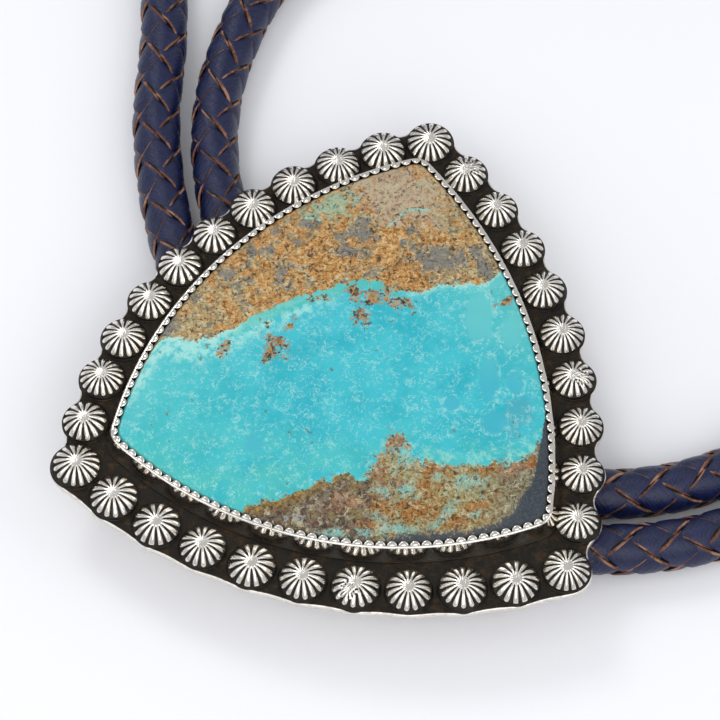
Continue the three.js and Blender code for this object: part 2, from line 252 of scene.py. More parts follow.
class Tree:
    """Short calls that add and link the nodes of one tree."""

    def __init__(self, tree):
        self.tree = tree
        self.column = 0

    def add(self, kind, inputs=None, **settings):
        node = self.tree.nodes.new(kind)
        self.column += 1
        node.location = (180 * (self.column % 12), -240 * (self.column // 12))
        for name, value in settings.items():
            setattr(node, name, value)
        for name, value in (inputs or {}).items():
            self.feed(node.inputs[name], value)
        return node

    def feed(self, socket, value):
        if isinstance(value, bpy.types.NodeSocket):
            self.tree.links.new(value, socket)
        elif value is not None:
            if socket.type == "RGBA" and len(value) == 3:
                value = (*value, 1.0)
            socket.default_value = value

    def math(self, operation, first, second=None, third=None):
        node = self.add("ShaderNodeMath", operation=operation)
        for socket, value in zip(node.inputs, (first, second, third)):
            self.feed(socket, value)
        return node.outputs[0]

    def vector(self, operation, first, second=None, scale=None):
        node = self.add("ShaderNodeVectorMath", operation=operation)
        self.feed(node.inputs[0], first)
        self.feed(node.inputs[1], second)
        if scale is not None:
            self.feed(node.inputs["Scale"], scale)
        return node.outputs["Value" if operation in ("LENGTH", "DOT_PRODUCT") else "Vector"]

    def mix(self, share, first, second):
        node = self.add("ShaderNodeMix", data_type="RGBA")
        self.feed(node.inputs["Factor"], share)
        self.feed(node.inputs[6], first)
        self.feed(node.inputs[7], second)
        return node.outputs[2]

    def blend(self, share, first, second):
        node = self.add("ShaderNodeMix", data_type="FLOAT")
        self.feed(node.inputs["Factor"], share)
        self.feed(node.inputs[2], first)
        self.feed(node.inputs[3], second)
        return node.outputs[0]

    def step(self, value, low, high, to_low=0.0, to_high=1.0):
        """Smooth step of value from low to high."""
        node = self.add("ShaderNodeMapRange", interpolation_type="SMOOTHSTEP")
        for name, number in zip(("Value", "From Min", "From Max", "To Min", "To Max"),
                                (value, low, high, to_low, to_high)):
            self.feed(node.inputs[name], number)
        return node.outputs[0]

    def noise(self, place, scale, detail=3.0, roughness=0.55):
        node = self.add("ShaderNodeTexNoise", {
            "Vector": place, "Scale": scale, "Detail": detail, "Roughness": roughness})
        return node.outputs["Fac"]

    def cells(self, place, scale, output="Distance"):
        return self.add("ShaderNodeTexVoronoi", {"Vector": place, "Scale": scale}).outputs[output]

    def ramp(self, value, stops):
        """Colour that runs through the stops, each a position and a hex code."""
        node = self.add("ShaderNodeValToRGB", {"Fac": value})
        elements = node.color_ramp.elements
        elements[0].position = stops[0][0]
        elements[0].color = (*shade(stops[0][1]), 1.0)
        elements[1].position = stops[-1][0]
        elements[1].color = (*shade(stops[-1][1]), 1.0)
        for position, code in stops[1:-1]:
            elements.new(position).color = (*shade(code), 1.0)
        return node.outputs["Color"]

    def grains(self, place, scale):
        """A random number in each of many small cells."""
        colour = self.cells(place, scale, output="Color")
        return self.add("ShaderNodeSeparateColor", {"Color": colour}).outputs["Red"]

    def attribute(self, name):
        return self.add("ShaderNodeAttribute", attribute_name=name).outputs["Fac"]

    def bump(self, height, distance):
        node = self.add("ShaderNodeBump", {"Height": height, "Distance": distance, "Strength": 1.0})
        return node.outputs["Normal"]

    def store(self, geometry, name, value):
        """Stores a number on the points of a geometry."""
        node = self.add("GeometryNodeStoreNamedAttribute", {
            "Geometry": geometry, "Name": name, "Value": value}, data_type="FLOAT", domain="POINT")
        return node.outputs["Geometry"]

    def millimetres(self):
        """Object coordinates in millimetres."""
        place = self.add("ShaderNodeTexCoord").outputs["Object"]
        return self.vector("SCALE", place, scale=1000.0)


def place_group(nodes, tree, inputs):
    """Adds a shader group to a material and sets its inputs by name."""
    node = nodes.add("ShaderNodeGroup", node_tree=tree)
    for name, value in inputs.items():
        nodes.feed(node.inputs[name], value)
    return node


def new_group(name, kind, inputs, outputs):
    """A node group with the named sockets, and its input and output nodes."""
    tree = bpy.data.node_groups.new(name, kind)
    for label, socket_type, default in inputs:
        socket = tree.interface.new_socket(name=label, in_out="INPUT", socket_type=socket_type)
        if default is not None:
            socket.default_value = default
    for label, socket_type in outputs:
        tree.interface.new_socket(name=label, in_out="OUTPUT", socket_type=socket_type)
    nodes = Tree(tree)
    start = nodes.add("NodeGroupInput")
    end = nodes.add("NodeGroupOutput")
    return tree, nodes, start.outputs, end.inputs


def new_material(name):
    """An empty material with its node helper and its Principled shader."""
    material = bpy.data.materials.new(name)
    material.use_nodes = True
    nodes = Tree(material.node_tree)
    shader = material.node_tree.nodes["Principled BSDF"]
    return material, nodes, shader


# Effects shared by several materials


def tarnish_group():
    """Mask of blackening: full in the recesses, broken up by noise, thin on what is rubbed bright."""
    tree, nodes, start, end = new_group(
        "Tarnish", "ShaderNodeTree",
        [("Place", "NodeSocketVector", None), ("Recess", "NodeSocketFloat", 0.0),
         ("Grain", "NodeSocketFloat", 1.5), ("Haze", "NodeSocketFloat", 0.1)],
        [("Mask", "NodeSocketFloat"), ("Roughness", "NodeSocketFloat")])
    broken = nodes.noise(start["Place"], start["Grain"], detail=5.0, roughness=0.65)
    edge = nodes.math("ADD", start["Recess"], nodes.math("MULTIPLY_ADD", broken, 0.5, -0.25))
    dark = nodes.step(edge, 0.3, 0.75)
    film = nodes.math("MULTIPLY", nodes.step(broken, 0.35, 0.8), start["Haze"])
    mask = nodes.math("MAXIMUM", dark, film)
    nodes.feed(end["Mask"], mask)
    nodes.feed(end["Roughness"], nodes.math("MULTIPLY_ADD", mask, 0.25, nodes.math("MULTIPLY", broken, 0.1)))
    return tree


def scratch_group():
    """Height of fine handling scratches that run several ways, with a few small dents."""
    tree, nodes, start, end = new_group(
        "Fine scratches", "ShaderNodeTree",
        [("Place", "NodeSocketVector", None), ("Density", "NodeSocketFloat", 1.0),
         ("Dents", "NodeSocketFloat", 0.5)],
        [("Height", "NodeSocketFloat")])
    lines = None
    for turn, stretch in ((0.4, 0.06), (1.5, 0.09), (2.5, 0.05)):
        mapped = nodes.add("ShaderNodeMapping", {
            "Vector": start["Place"], "Rotation": (0.3, 0.2, turn), "Scale": (1.0, stretch, 0.4)})
        scale = nodes.math("MULTIPLY", start["Density"], 9.0)
        streak = nodes.noise(mapped.outputs["Vector"], scale, detail=2.0)
        line = nodes.step(streak, 0.62, 0.7)
        lines = line if lines is None else nodes.math("MAXIMUM", lines, line)
    dents = nodes.math("MULTIPLY", nodes.noise(start["Place"], 0.9, detail=1.0), start["Dents"])
    nodes.feed(end["Height"], nodes.math("SUBTRACT", dents, nodes.math("MULTIPLY", lines, 0.15)))
    return tree


# Materials


def silver_material(name, scratches, tarnish, haze=0.1, dent_depth=0.02, roughness=0.14, dirt="#372f27"):
    """Polished silver, blackened where the attribute recess is high."""
    finishes = bpy.context.scene.bolo_finishes
    material, nodes, shader = new_material(name)
    place = nodes.millimetres()
    dark = place_group(nodes, tarnish, {
        "Place": place, "Recess": nodes.attribute("recess"), "Grain": 1.6, "Haze": haze})
    marks = place_group(nodes, scratches, {"Place": place, "Density": 1.0, "Dents": 1.0})
    warm = nodes.mix(nodes.noise(place, 0.7), tuple(finishes.silver), shade("#e9dfcf"))
    grime_and_shade = nodes.step(nodes.noise(place, 0.8, detail=5.0, roughness=0.7), 0.42, 0.66)
    brown = nodes.mix(grime_and_shade, tuple(finishes.tarnish), shade(dirt))
    nodes.feed(shader.inputs["Base Color"], nodes.mix(dark.outputs["Mask"], warm, brown))
    nodes.feed(shader.inputs["Metallic"], nodes.blend(dark.outputs["Mask"], 1.0, 0.75))
    nodes.feed(shader.inputs["Roughness"], nodes.math("ADD", dark.outputs["Roughness"], roughness))
    lumps = nodes.math("MULTIPLY", nodes.math("MULTIPLY", grime_and_shade, dark.outputs["Mask"]), 2.0)
    height = nodes.math("ADD", marks.outputs["Height"], lumps)
    nodes.feed(shader.inputs["Normal"], nodes.bump(height, dent_depth * MM))
    return material


def clip_material(scratches, tarnish):
    """Plain nickel silver with a brushed grain along the channels."""
    material, nodes, shader = new_material("Brushed clip metal")
    place = nodes.millimetres()
    along = nodes.add("ShaderNodeMapping", {
        "Vector": place, "Rotation": (0.0, 0.0, math.radians(39)), "Scale": (0.12, 2.0, 2.0)})
    grain = nodes.noise(along.outputs["Vector"], 4.0, detail=4.0)
    dark = place_group(nodes, tarnish, {"Place": place, "Recess": 0.12, "Grain": 0.6, "Haze": 0.35})
    marks = place_group(nodes, scratches, {"Place": place, "Density": 0.6, "Dents": 0.3})
    metal = nodes.mix(grain, shade("#a09c96"), shade("#c9c6c0"))
    nodes.feed(shader.inputs["Base Color"], nodes.mix(dark.outputs["Mask"], metal, shade("#4c463f")))
    shader.inputs["Metallic"].default_value = 1.0
    nodes.feed(shader.inputs["Roughness"], nodes.math("MULTIPLY_ADD", grain, 0.2, 0.25))
    height = nodes.math("ADD", nodes.math("MULTIPLY", grain, 0.5), marks.outputs["Height"])
    nodes.feed(shader.inputs["Normal"], nodes.bump(height, 0.02 * MM))
    return material


def leather_material():
    """Dyed leather straps with creases across them and raw tan edges, with painted shade in the gaps, at the
    straps' sides and where they dip under.
    """
    finishes = bpy.context.scene.bolo_finishes
    material, nodes, shader = new_material("Braided leather")
    place = nodes.millimetres()
    along = nodes.math("MULTIPLY", nodes.attribute("along"), 1000.0)
    across = nodes.attribute("across")
    raw = nodes.attribute("raw_edge")
    strap = nodes.math("MULTIPLY", nodes.attribute("strap"), 7.0)
    flat = nodes.add("ShaderNodeCombineXYZ", {"X": along, "Y": across, "Z": strap}).outputs["Vector"]
    creased = nodes.add("ShaderNodeMapping", {
        "Vector": flat, "Rotation": (0.0, 0.0, 0.25), "Scale": (3.6, 0.7, 1.0)}).outputs["Vector"]
    creases = nodes.noise(creased, 1.5, detail=4.0, roughness=0.6)
    grain = nodes.cells(place, 5.5)
    cloud = nodes.noise(place, 0.55, detail=2.0)
    dyed_and_shaded = nodes.mix(nodes.step(creases, 0.38, 0.68), tuple(finishes.leather), shade("#172250"))
    dyed_and_shaded = nodes.mix(nodes.math("MULTIPLY", cloud, 0.5), dyed_and_shaded, shade("#10152a"))
    side = nodes.math("ABSOLUTE", across)
    # Painted shade towards each strap's sides, where it curves down into the braid
    dyed_and_shaded = nodes.mix(nodes.step(side, 0.8, 0.95, 0.0, 0.5), dyed_and_shaded, shade("#0c1020"))
    # Painted shade where a strap dips under the straps wound the other way
    dyed_and_shaded = nodes.mix(nodes.step(nodes.attribute("lift"), 0.25, -0.3, 0.0, 0.85), dyed_and_shaded, shade("#07080e"))
    fibre = nodes.noise(place, 7.0, detail=4.0, roughness=0.7)
    tan = nodes.mix(nodes.step(fibre, 0.4, 0.6), shade("#3f2519"), tuple(finishes.raw_edge))
    tan = nodes.mix(nodes.step(cloud, 0.45, 0.65, 0.0, 0.6), tan, shade("#b98a70"))
    raw_and_crevice = nodes.math("ADD", raw, nodes.math("MULTIPLY_ADD", fibre, 0.3, -0.15))
    bare = nodes.step(raw_and_crevice, 0.62, 0.7)
    # gap: painted shade, near black, in the crevice at the foot and back of each strap beside its raw edge
    gap = nodes.step(raw_and_crevice, 0.3, 0.45)
    colour = nodes.mix(gap, dyed_and_shaded, shade("#0b0a0d"))
    nodes.feed(shader.inputs["Base Color"], nodes.mix(bare, colour, tan))
    gloss = nodes.blend(gap, nodes.math("MULTIPLY_ADD", creases, 0.26, 0.16), 0.85)
    nodes.feed(shader.inputs["Roughness"], gloss)
    shader.inputs["Specular IOR Level"].default_value = 0.4
    wrinkled = nodes.math("MULTIPLY_ADD", creases, 1.0, nodes.math("MULTIPLY", grain, 0.25))
    nodes.feed(shader.inputs["Normal"], nodes.bump(wrinkled, 0.1 * MM))
    return material


# Heights in millimetres of the stone's boundaries: under the ochre band, over the brown matrix, and over
# the slate in the lower right corner.
BAND_LINE = [
    (-27.0, -5.0), (-23.3, -3.0), (-21.9, -0.2), (-20.3, 1.8), (-17.2, 1.1), (-12.2, 2.5), (-9.8, 4.3),
    (-7.3, 5.5), (-3.6, 7.2), (0.2, 8.5), (2.9, 9.4), (5.8, 9.5), (9.0, 8.1), (11.5, 7.8), (14.0, 8.8),
    (17.7, 9.1), (20.2, 9.6), (21.6, 11.4), (27.0, 14.0),
]
MATRIX_LINE = [
    (-27.0, -27.0), (-14.0, -24.0), (-11.6, -22.9), (-9.4, -21.6), (-6.4, -21.0), (-3.3, -19.6),
    (-0.3, -18.5), (2.1, -17.4), (4.0, -18.4), (5.4, -17.4), (6.6, -14.6), (9.2, -14.6), (10.7, -15.6),
    (13.7, -16.2), (18.6, -16.2), (23.5, -15.3), (25.3, -14.0), (27.0, -11.0),
]
SLATE_LINE = [
    (-27.0, -28.0), (2.0, -27.6), (6.0, -26.2), (9.2, -25.3), (15.7, -24.9), (19.7, -24.1), (22.0, -22.8),
    (23.8, -20.2), (24.9, -18.3), (25.6, -15.4), (26.2, -12.2), (26.9, -8.0),
]

# Patches in the stone, in millimetres and degrees: x, y, half length, half width and turn.
PATCHES = {
    "inclusion": [
        (-6.6, 0.4, 1.6, 0.9, -40), (-7.4, -0.9, 1.0, 0.5, 70), (-12.8, 0.2, 1.3, 0.5, 70),
        (3.4, 7.6, 1.3, 0.9, -30), (6.2, 7.2, 2.0, 1.0, 5), (8.8, 6.6, 1.4, 0.9, -30),
        (4.2, 4.6, 1.5, 0.8, 80), (-1.2, 7.0, 1.2, 0.25, 12), (-4.2, 4.0, 0.4, 0.3, 0),
        (-4.8, 3.0, 0.5, 0.35, 40), (-7.3, 3.0, 0.7, 0.3, 70), (22.2, 6.8, 1.3, 0.35, 35),
    ],
    "pink": [(8.6, 22.6, 6.6, 4.2, -25)],
    "green": [(0.4, 20.8, 3.0, 1.7, 30)],
    "vein": [
        (11.2, 20.0, 1.9, 0.17, 2), (9.2, 19.3, 0.65, 0.15, 62), (8.0, 18.0, 1.0, 0.12, 42),
        (-2.6, 18.9, 0.55, 0.2, 0), (-1.4, 18.6, 0.5, 0.14, -30),
    ],
    "grey": [
        (13.6, 12.7, 3.3, 1.8, -6), (3.0, 13.9, 2.0, 0.9, 5), (4.2, 16.4, 2.0, 1.0, -8),
        (4.5, 18.4, 1.0, 0.5, 0), (1.6, 15.8, 0.7, 0.6, 0), (-2.6, 18.0, 1.4, 0.5, 0),
        (-9.6, 14.0, 0.8, 0.8, 0), (-7.6, 14.3, 0.8, 0.7, 0), (-6.7, 17.0, 0.7, 0.6, 0),
        (-5.8, 10.9, 0.5, 0.8, 0), (-10.0, 9.8, 0.6, 0.5, 0), (-12.8, 10.8, 1.0, 0.7, 0),
        (-20.4, 3.4, 1.6, 1.4, 20), (10.4, 17.0, 0.9, 0.7, 0), (19.4, 12.2, 0.8, 2.6, 22),
        (9.6, 15.0, 0.7, 0.5, 0),
    ],
    "smooth": [
        (18.8, 4.2, 2.1, 3.9, 0), (22.8, 2.6, 1.5, 2.9, -8), (19.9, -4.5, 1.4, 3.3, 0),
        (23.2, -4.6, 1.2, 1.9, 0), (15.2, -7.9, 1.1, 1.2, 0), (20.3, -10.4, 1.7, 1.8, 0),
        (-9.0, -13.4, 1.5, 1.5, 0), (20.6, 9.4, 2.0, 0.9, 30),
    ],
    "pool": [(23.4, -9.0, 1.8, 2.2, 0), (22.8, -11.2, 0.7, 1.6, 0)],
    "teal": [
        (9.6, -19.6, 1.3, 0.8, 0), (6.9, -20.3, 1.4, 0.8, -40), (6.4, -23.2, 1.1, 0.7, -20),
        (14.2, -23.0, 2.3, 0.6, 46), (8.6, -24.9, 2.4, 0.6, -4), (0.8, -25.3, 1.5, 0.5, 0),
        (4.4, -25.0, 1.0, 0.5, 0), (9.8, -15.4, 1.6, 1.0, -20), (13.4, -17.6, 0.8, 0.8, 0),
        (17.2, -18.4, 1.6, 0.7, 0), (17.6, -22.8, 1.2, 0.5, 30),
    ],
    "orange": [
        (10.6, -22.2, 2.6, 1.2, -10), (6.8, -21.9, 1.4, 1.4, 30), (15.8, -24.0, 1.5, 1.0, 10),
        (17.8, -21.8, 1.8, 0.6, 8), (12.8, -16.9, 1.8, 0.8, 0), (5.0, -24.2, 1.0, 0.6, 0),
        (12.0, -19.2, 0.8, 1.6, 0), (19.6, -16.8, 1.2, 0.6, 20), (24.8, -15.6, 0.9, 0.7, -40),
    ],
    "brown": [
        (8.4, -13.2, 1.3, 1.2, 0), (7.3, -14.9, 0.7, 0.5, 0), (6.2, -17.3, 0.9, 1.1, 0),
        (6.5, -19.2, 1.0, 0.6, 0), (9.0, -18.9, 1.2, 0.6, 0), (9.9, -14.2, 0.4, 0.4, 0),
        (5.9, -15.2, 0.35, 0.3, 0), (2.4, -21.4, 1.6, 1.2, 20), (22.6, -16.8, 1.8, 0.9, 10),
    ],
    "crystal": [(-3.5, -23.2, 0.8, 0.65, -20), (-4.9, -23.5, 0.4, 0.5, 0), (1.6, -20.9, 0.6, 0.7, 0)],
}


def patch_field(nodes, place, name):
    """How deep a place, whose Z is 1, lies in the nearest patch: 1 in its middle and 0 on its rim."""
    best = None
    for x, y, long, short, turn in PATCHES[name]:
        cosine = math.cos(math.radians(turn))
        sine = math.sin(math.radians(turn))
        along = (cosine / long, sine / long, -(x * cosine + y * sine) / long)
        aside = (-sine / short, cosine / short, (x * sine - y * cosine) / short)
        local = nodes.add("ShaderNodeCombineXYZ", {
            "X": nodes.vector("DOT_PRODUCT", place, along), "Y": nodes.vector("DOT_PRODUCT", place, aside)})
        depth = nodes.math("SUBTRACT", 1.0, nodes.vector("LENGTH", local.outputs["Vector"]))
        best = depth if best is None else nodes.math("MAXIMUM", best, depth)
    return best


def stone_line(nodes, x, table):
    """Height in millimetres of a boundary at x."""
    low, high = -28.0, 28.0
    share = nodes.math("MULTIPLY_ADD", x, 1 / (high - low), -low / (high - low))
    node = nodes.add("ShaderNodeFloatCurve", {"Value": share})
    curve = node.mapping.curves[0]
    points = [((a - low) / (high - low), (b - low) / (high - low)) for a, b in table]
    curve.points[0].location = points[0]
    curve.points[1].location = points[-1]
    for point in points[1:-1]:
        curve.points.new(*point)
    node.mapping.update()
    return nodes.math("MULTIPLY_ADD", node.outputs[0], high - low, low)


def stone_material():
    """Turquoise with an ochre band, brown and rust matrix, pale webbing and dark specks."""
    finishes = bpy.context.scene.bolo_finishes
    material, nodes, shader = new_material("Turquoise in matrix")
    flat = nodes.vector("MULTIPLY", nodes.millimetres(), (1.0, 1.0, 0.0))
    place = nodes.vector("ADD", flat, (0.0, 0.0, 1.0))
    apart = nodes.add("ShaderNodeSeparateXYZ", {"Vector": place})
    x = apart.outputs["X"]
    y = apart.outputs["Y"]
    far = nodes.vector("ADD", place, (71.0, 33.0, 0.0))
    farther = nodes.vector("ADD", place, (-45.0, 82.0, 0.0))

    cloud = nodes.noise(place, 0.22, detail=2.0)
    cloud_far = nodes.noise(far, 0.3, detail=3.0)
    broken = nodes.noise(place, 0.75, detail=6.0, roughness=0.68)
    broken_far = nodes.noise(far, 0.8, detail=6.0, roughness=0.68)
    broken_farther = nodes.noise(farther, 0.6, detail=6.0, roughness=0.7)
    fine = nodes.noise(place, 2.6, detail=5.0, roughness=0.78)
    fine_far = nodes.noise(far, 2.8, detail=5.0, roughness=0.78)
    drift = nodes.add("ShaderNodeCombineXYZ", {
        "X": nodes.math("MULTIPLY_ADD", broken_farther, 2.2, -1.1),
        "Y": nodes.math("MULTIPLY_ADD", nodes.noise(farther, 0.9, detail=5.0), 2.2, -1.1)})
    shifted = nodes.vector("ADD", place, drift.outputs["Vector"])
    grain = nodes.grains(shifted, 2.3)
    grain_small = nodes.grains(nodes.vector("ADD", shifted, (13.0, 5.0, 0.0)), 4.6)

    def mul(*values):
        """Product of several masks."""
        product = values[0]
        for value in values[1:]:
            product = nodes.math("MULTIPLY", product, value)
        return product

    def paint(base, mask, tint, share=1.0):
        """Lays a colour, or a hex code, over the base where the mask is high."""
        tint = shade(tint) if isinstance(tint, str) else tint
        return nodes.mix(mul(mask, share), base, tint)

    def torn(name, broad, small, soft=0.12, source=None):
        """Mask of the patches of a name, whose rims are torn by two noises."""
        field = patch_field(nodes, shifted if source is None else source, name)
        level = nodes.math("MULTIPLY_ADD", nodes.math("SUBTRACT", broken, 0.5), broad, field)
        level = nodes.math("MULTIPLY_ADD", nodes.math("SUBTRACT", fine_far, 0.5), small, level)
        return nodes.step(level, -soft, soft)

    def boundary(table, sign, broad, small):
        """Distance over or under a boundary in millimetres, with an uneven edge."""
        gap = nodes.math("MULTIPLY", nodes.math("SUBTRACT", y, stone_line(nodes, x, table)), sign)
        gap = nodes.math("MULTIPLY_ADD", nodes.math("SUBTRACT", broken, 0.5), broad, gap)
        return nodes.math("MULTIPLY_ADD", nodes.math("SUBTRACT", fine_far, 0.5), small, gap)

    over = boundary(BAND_LINE, 1.0, 3.0, 1.2)
    under = boundary(MATRIX_LINE, -1.0, 4.5, 3.0)
    below = boundary(SLATE_LINE, -1.0, 3.0, 5.0)

    # Turquoise
    sea = nodes.mix(nodes.step(cloud, 0.35, 0.65), tuple(finishes.turquoise), shade("#40bac6"))
    sea = paint(sea, nodes.step(x, -2.0, -24.0), "#45bdb9", 0.5)
    sea = paint(sea, mul(nodes.step(y, -8.0, -19.0), nodes.step(cloud_far, 0.3, 0.6)), "#57bdab", 0.5)
    sea = paint(sea, nodes.step(nodes.math("ADD", x, y), 12.0, 32.0), "#62c6c0", 0.6)
    sea = paint(sea, nodes.step(fine_far, 0.54, 0.7), "#2ba3b3", 0.4)
    half_shifted = nodes.vector(
        "ADD", nodes.vector("SCALE", place, scale=0.6), nodes.vector("SCALE", shifted, scale=0.4))
    hollow = patch_field(nodes, half_shifted, "smooth")
    hollow = nodes.math("MULTIPLY_ADD", nodes.math("SUBTRACT", broken, 0.5), 1.4, hollow)
    smooth = nodes.step(hollow, -0.1, 0.35)
    still = nodes.mix(nodes.step(y, -6.0, 3.0), shade("#47afc2"), shade("#6ac4c5"))
    sea = nodes.mix(mul(smooth, 0.65), sea, still)
    sea = paint(sea, torn("pool", 1.6, 0.8, 0.25), "#4aa5b4", 0.75)
    thread = nodes.noise(shifted, 0.95, detail=5.0, roughness=0.65)
    thread = nodes.math("ABSOLUTE", nodes.math("SUBTRACT", thread, 0.5))
    webbing = mul(nodes.step(thread, 0.028, 0.006), nodes.step(broken_far, 0.45, 0.58))
    fleck = mul(nodes.step(fine, 0.54, 0.65), nodes.step(broken_farther, 0.44, 0.58))
    ring = mul(nodes.step(nodes.math("ABSOLUTE", hollow), 0.25, 0.05), nodes.step(broken_far, 0.44, 0.54))
    ring = mul(ring, nodes.step(fine, 0.45, 0.56), nodes.step(x, 4.0, 8.0))
    pale = nodes.math("MAXIMUM", nodes.math("MAXIMUM", webbing, fleck), ring)
    sea = paint(sea, mul(pale, nodes.math("SUBTRACT", 1.0, smooth)), "#b4e2dc", 0.58)
    foam = mul(nodes.step(over, -4.4, -1.8), nodes.step(x, 4.0, -4.0), nodes.step(broken_far, 0.4, 0.56))
    sea = paint(sea, foam, "#a3ddd5", 0.8)
    lip = mul(nodes.step(over, -2.0, -1.0), nodes.step(x, -14.0, -10.0), nodes.step(x, 11.0, 7.0))
    sea = paint(sea, lip, "#50bbb0", 0.7)
    shore = mul(nodes.step(over, -0.8, -0.1), nodes.step(nodes.math("ABSOLUTE", x), 9.0, 12.0))
    sea = paint(sea, mul(shore, nodes.step(fine, 0.4, 0.5)), "#a9ddd0", 0.8)
    edge_foam = mul(
        nodes.step(under, -2.6, -0.3), nodes.step(broken_far, 0.44, 0.56), nodes.step(x, 2.0, 6.0))
    sea = paint(sea, edge_foam, "#8ecfc0", 0.7)
    island = nodes.ramp(nodes.math("MULTIPLY_ADD", grain, 0.5, nodes.math("MULTIPLY", fine, 0.5)), [
        (0.3, "#372d22"), (0.38, "#6b4f2c"), (0.46, "#98642a"), (0.54, "#b98a45"), (0.62, "#7d776a"),
        (0.7, "#a09a86")])
    inclusion = torn("inclusion", 6.0, 6.0)
    sea = nodes.mix(inclusion, sea, island)
    dot = nodes.step(nodes.cells(nodes.vector("ADD", shifted, (3.0, 9.0, 0.0)), 0.36), 0.09, 0.05)
    sea = paint(sea, dot, "#6a5b3f", 0.7)

    # Ochre band
    mixed = nodes.math("MULTIPLY_ADD", grain_small, 0.25, nodes.math("MULTIPLY", grain, 0.33))
    mixed = nodes.math("ADD", mixed, nodes.math("MULTIPLY", nodes.step(fine, 0.3, 0.7), 0.42))
    orange = nodes.ramp(mixed, [
        (0.1, "#43351f"), (0.24, "#75552f"), (0.36, "#9b6c36"), (0.5, "#b88545"), (0.64, "#c2985e"),
        (0.8, "#d4ba8c")])
    olive = nodes.ramp(mixed, [
        (0.1, "#433e35"), (0.26, "#6f6855"), (0.4, "#938463"), (0.54, "#ab925f"), (0.68, "#baab84"),
        (0.84, "#cec5a6")])
    side = nodes.step(nodes.math("ABSOLUTE", nodes.math("ADD", x, -1.0)), 6.0, 22.0, 0.0, 0.14)
    dull = nodes.step(nodes.math("ADD", broken_farther, side), 0.5, 0.62)
    ochre = nodes.mix(dull, orange, olive)
    ochre = paint(
        ochre, mul(nodes.step(broken_far, 0.55, 0.62), nodes.step(fine, 0.45, 0.6)), "#a9631f", 0.55)
    blush = nodes.ramp(mixed, [
        (0.12, "#72504a"), (0.28, "#9a7f6b"), (0.45, "#b09a7f"), (0.62, "#bda98a"), (0.78, "#a2a48b"),
        (0.9, "#cabb9f")])
    ochre = nodes.mix(mul(torn("pink", 3.0, 1.5, 0.3), 0.95), ochre, blush)
    verdigris = nodes.mix(nodes.step(fine, 0.4, 0.6), shade("#6fae9b"), shade("#a9b798"))
    ochre = nodes.mix(mul(torn("green", 4.0, 4.0, 0.3), 0.8), ochre, verdigris)
    ochre = paint(ochre, mul(nodes.step(broken_far, 0.58, 0.63), nodes.step(y, 15.0, 19.0)), "#86b29c", 0.6)
    ochre = paint(ochre, torn("vein", 0.9, 1.6, 0.2, place), "#86c9bd", 0.85)
    spots = mul(nodes.step(broken_farther, 0.6, 0.63), nodes.step(y, 20.0, 15.0))
    stony = nodes.math("MAXIMUM", torn("grey", 3.4, 3.0, 0.06), spots)
    ashen = nodes.ramp(mixed, [(0.1, "#514f49"), (0.4, "#76746b"), (0.7, "#828078"), (0.95, "#a3a196")])
    ochre = nodes.mix(mul(stony, 0.95), ochre, ashen)
    speck = nodes.math("MAXIMUM", nodes.step(grain_small, 0.15, 0.11), nodes.step(fine_far, 0.59, 0.65))
    ochre = paint(ochre, mul(speck, nodes.step(broken_far, 0.42, 0.52, 0.25, 0.85)), "#3c342b")

    # Brown matrix
    brown = nodes.ramp(mixed, [
        (0.12, "#2e2924"), (0.3, "#4a4037"), (0.44, "#665846"), (0.58, "#776a58"), (0.72, "#87806d"),
        (0.9, "#a39a86")])
    brown = paint(brown, nodes.step(broken_far, 0.52, 0.6), "#6b4436", 0.6)
    brown = paint(brown, nodes.step(broken_farther, 0.56, 0.62), "#8a7a4c", 0.6)
    brown = paint(brown, torn("crystal", 0.6, 0.8, 0.08), "#93928c", 0.9)
    speckled = nodes.ramp(mixed, [
        (0.12, "#45361f"), (0.28, "#775a30"), (0.42, "#94783f"), (0.54, "#958a5f"), (0.68, "#9c9c7a"),
        (0.88, "#c6bc9e")])
    speckled = paint(speckled, nodes.step(broken_farther, 0.55, 0.6), "#86a893", 0.5)
    speckled = paint(speckled, nodes.step(broken_far, 0.56, 0.6), "#a06c30", 0.7)
    dusty = nodes.mix(grain_small, shade("#4f493b"), shade("#938d76"))
    speckled = paint(speckled, nodes.step(x, 17.0, 23.5), dusty, 0.8)
    middle = nodes.step(nodes.math("MULTIPLY_ADD", broken, 6.0, x), 7.4, 9.4)
    brown = nodes.mix(middle, brown, speckled)
    umber = nodes.ramp(mixed, [(0.15, "#4c342b"), (0.4, "#80604a"), (0.65, "#a5805c"), (0.9, "#b99c7b")])
    brown = nodes.mix(mul(torn("brown", 3.0, 3.0), 0.85), brown, umber)
    lagoon = nodes.mix(nodes.step(fine, 0.38, 0.6), shade("#5aabaa"), shade("#9cc6b5"))
    brown = nodes.mix(mul(torn("teal", 3.4, 7.0), 0.75), brown, lagoon)
    rust = nodes.ramp(mixed, [
        (0.12, "#38261a"), (0.3, "#6c421f"), (0.46, "#9a5b1c"), (0.6, "#ad7430"), (0.72, "#827857"),
        (0.88, "#b5a077")])
    brown = nodes.mix(mul(torn("orange", 4.0, 8.0), 0.85), brown, rust)
    brown = paint(brown, mul(speck, nodes.step(broken_farther, 0.4, 0.52, 0.3, 0.9)), "#33291d", 0.8)
    brown = paint(brown, mul(nodes.step(grain, 0.86, 0.92), nodes.step(fine, 0.44, 0.52)), "#bdb798", 0.6)
    seam = mul(nodes.step(under, 1.5, 0.5), nodes.step(x, 5.0, 1.0))
    brown = nodes.mix(
        mul(seam, 0.85), brown, nodes.mix(nodes.step(fine, 0.4, 0.6), shade("#55431f"), shade("#a98335")))
    slate = nodes.mix(nodes.step(fine_far, 0.4, 0.65), shade("#343b43"), shade("#4b5156"))
    brown = nodes.mix(nodes.step(below, -0.4, 0.5), brown, slate)

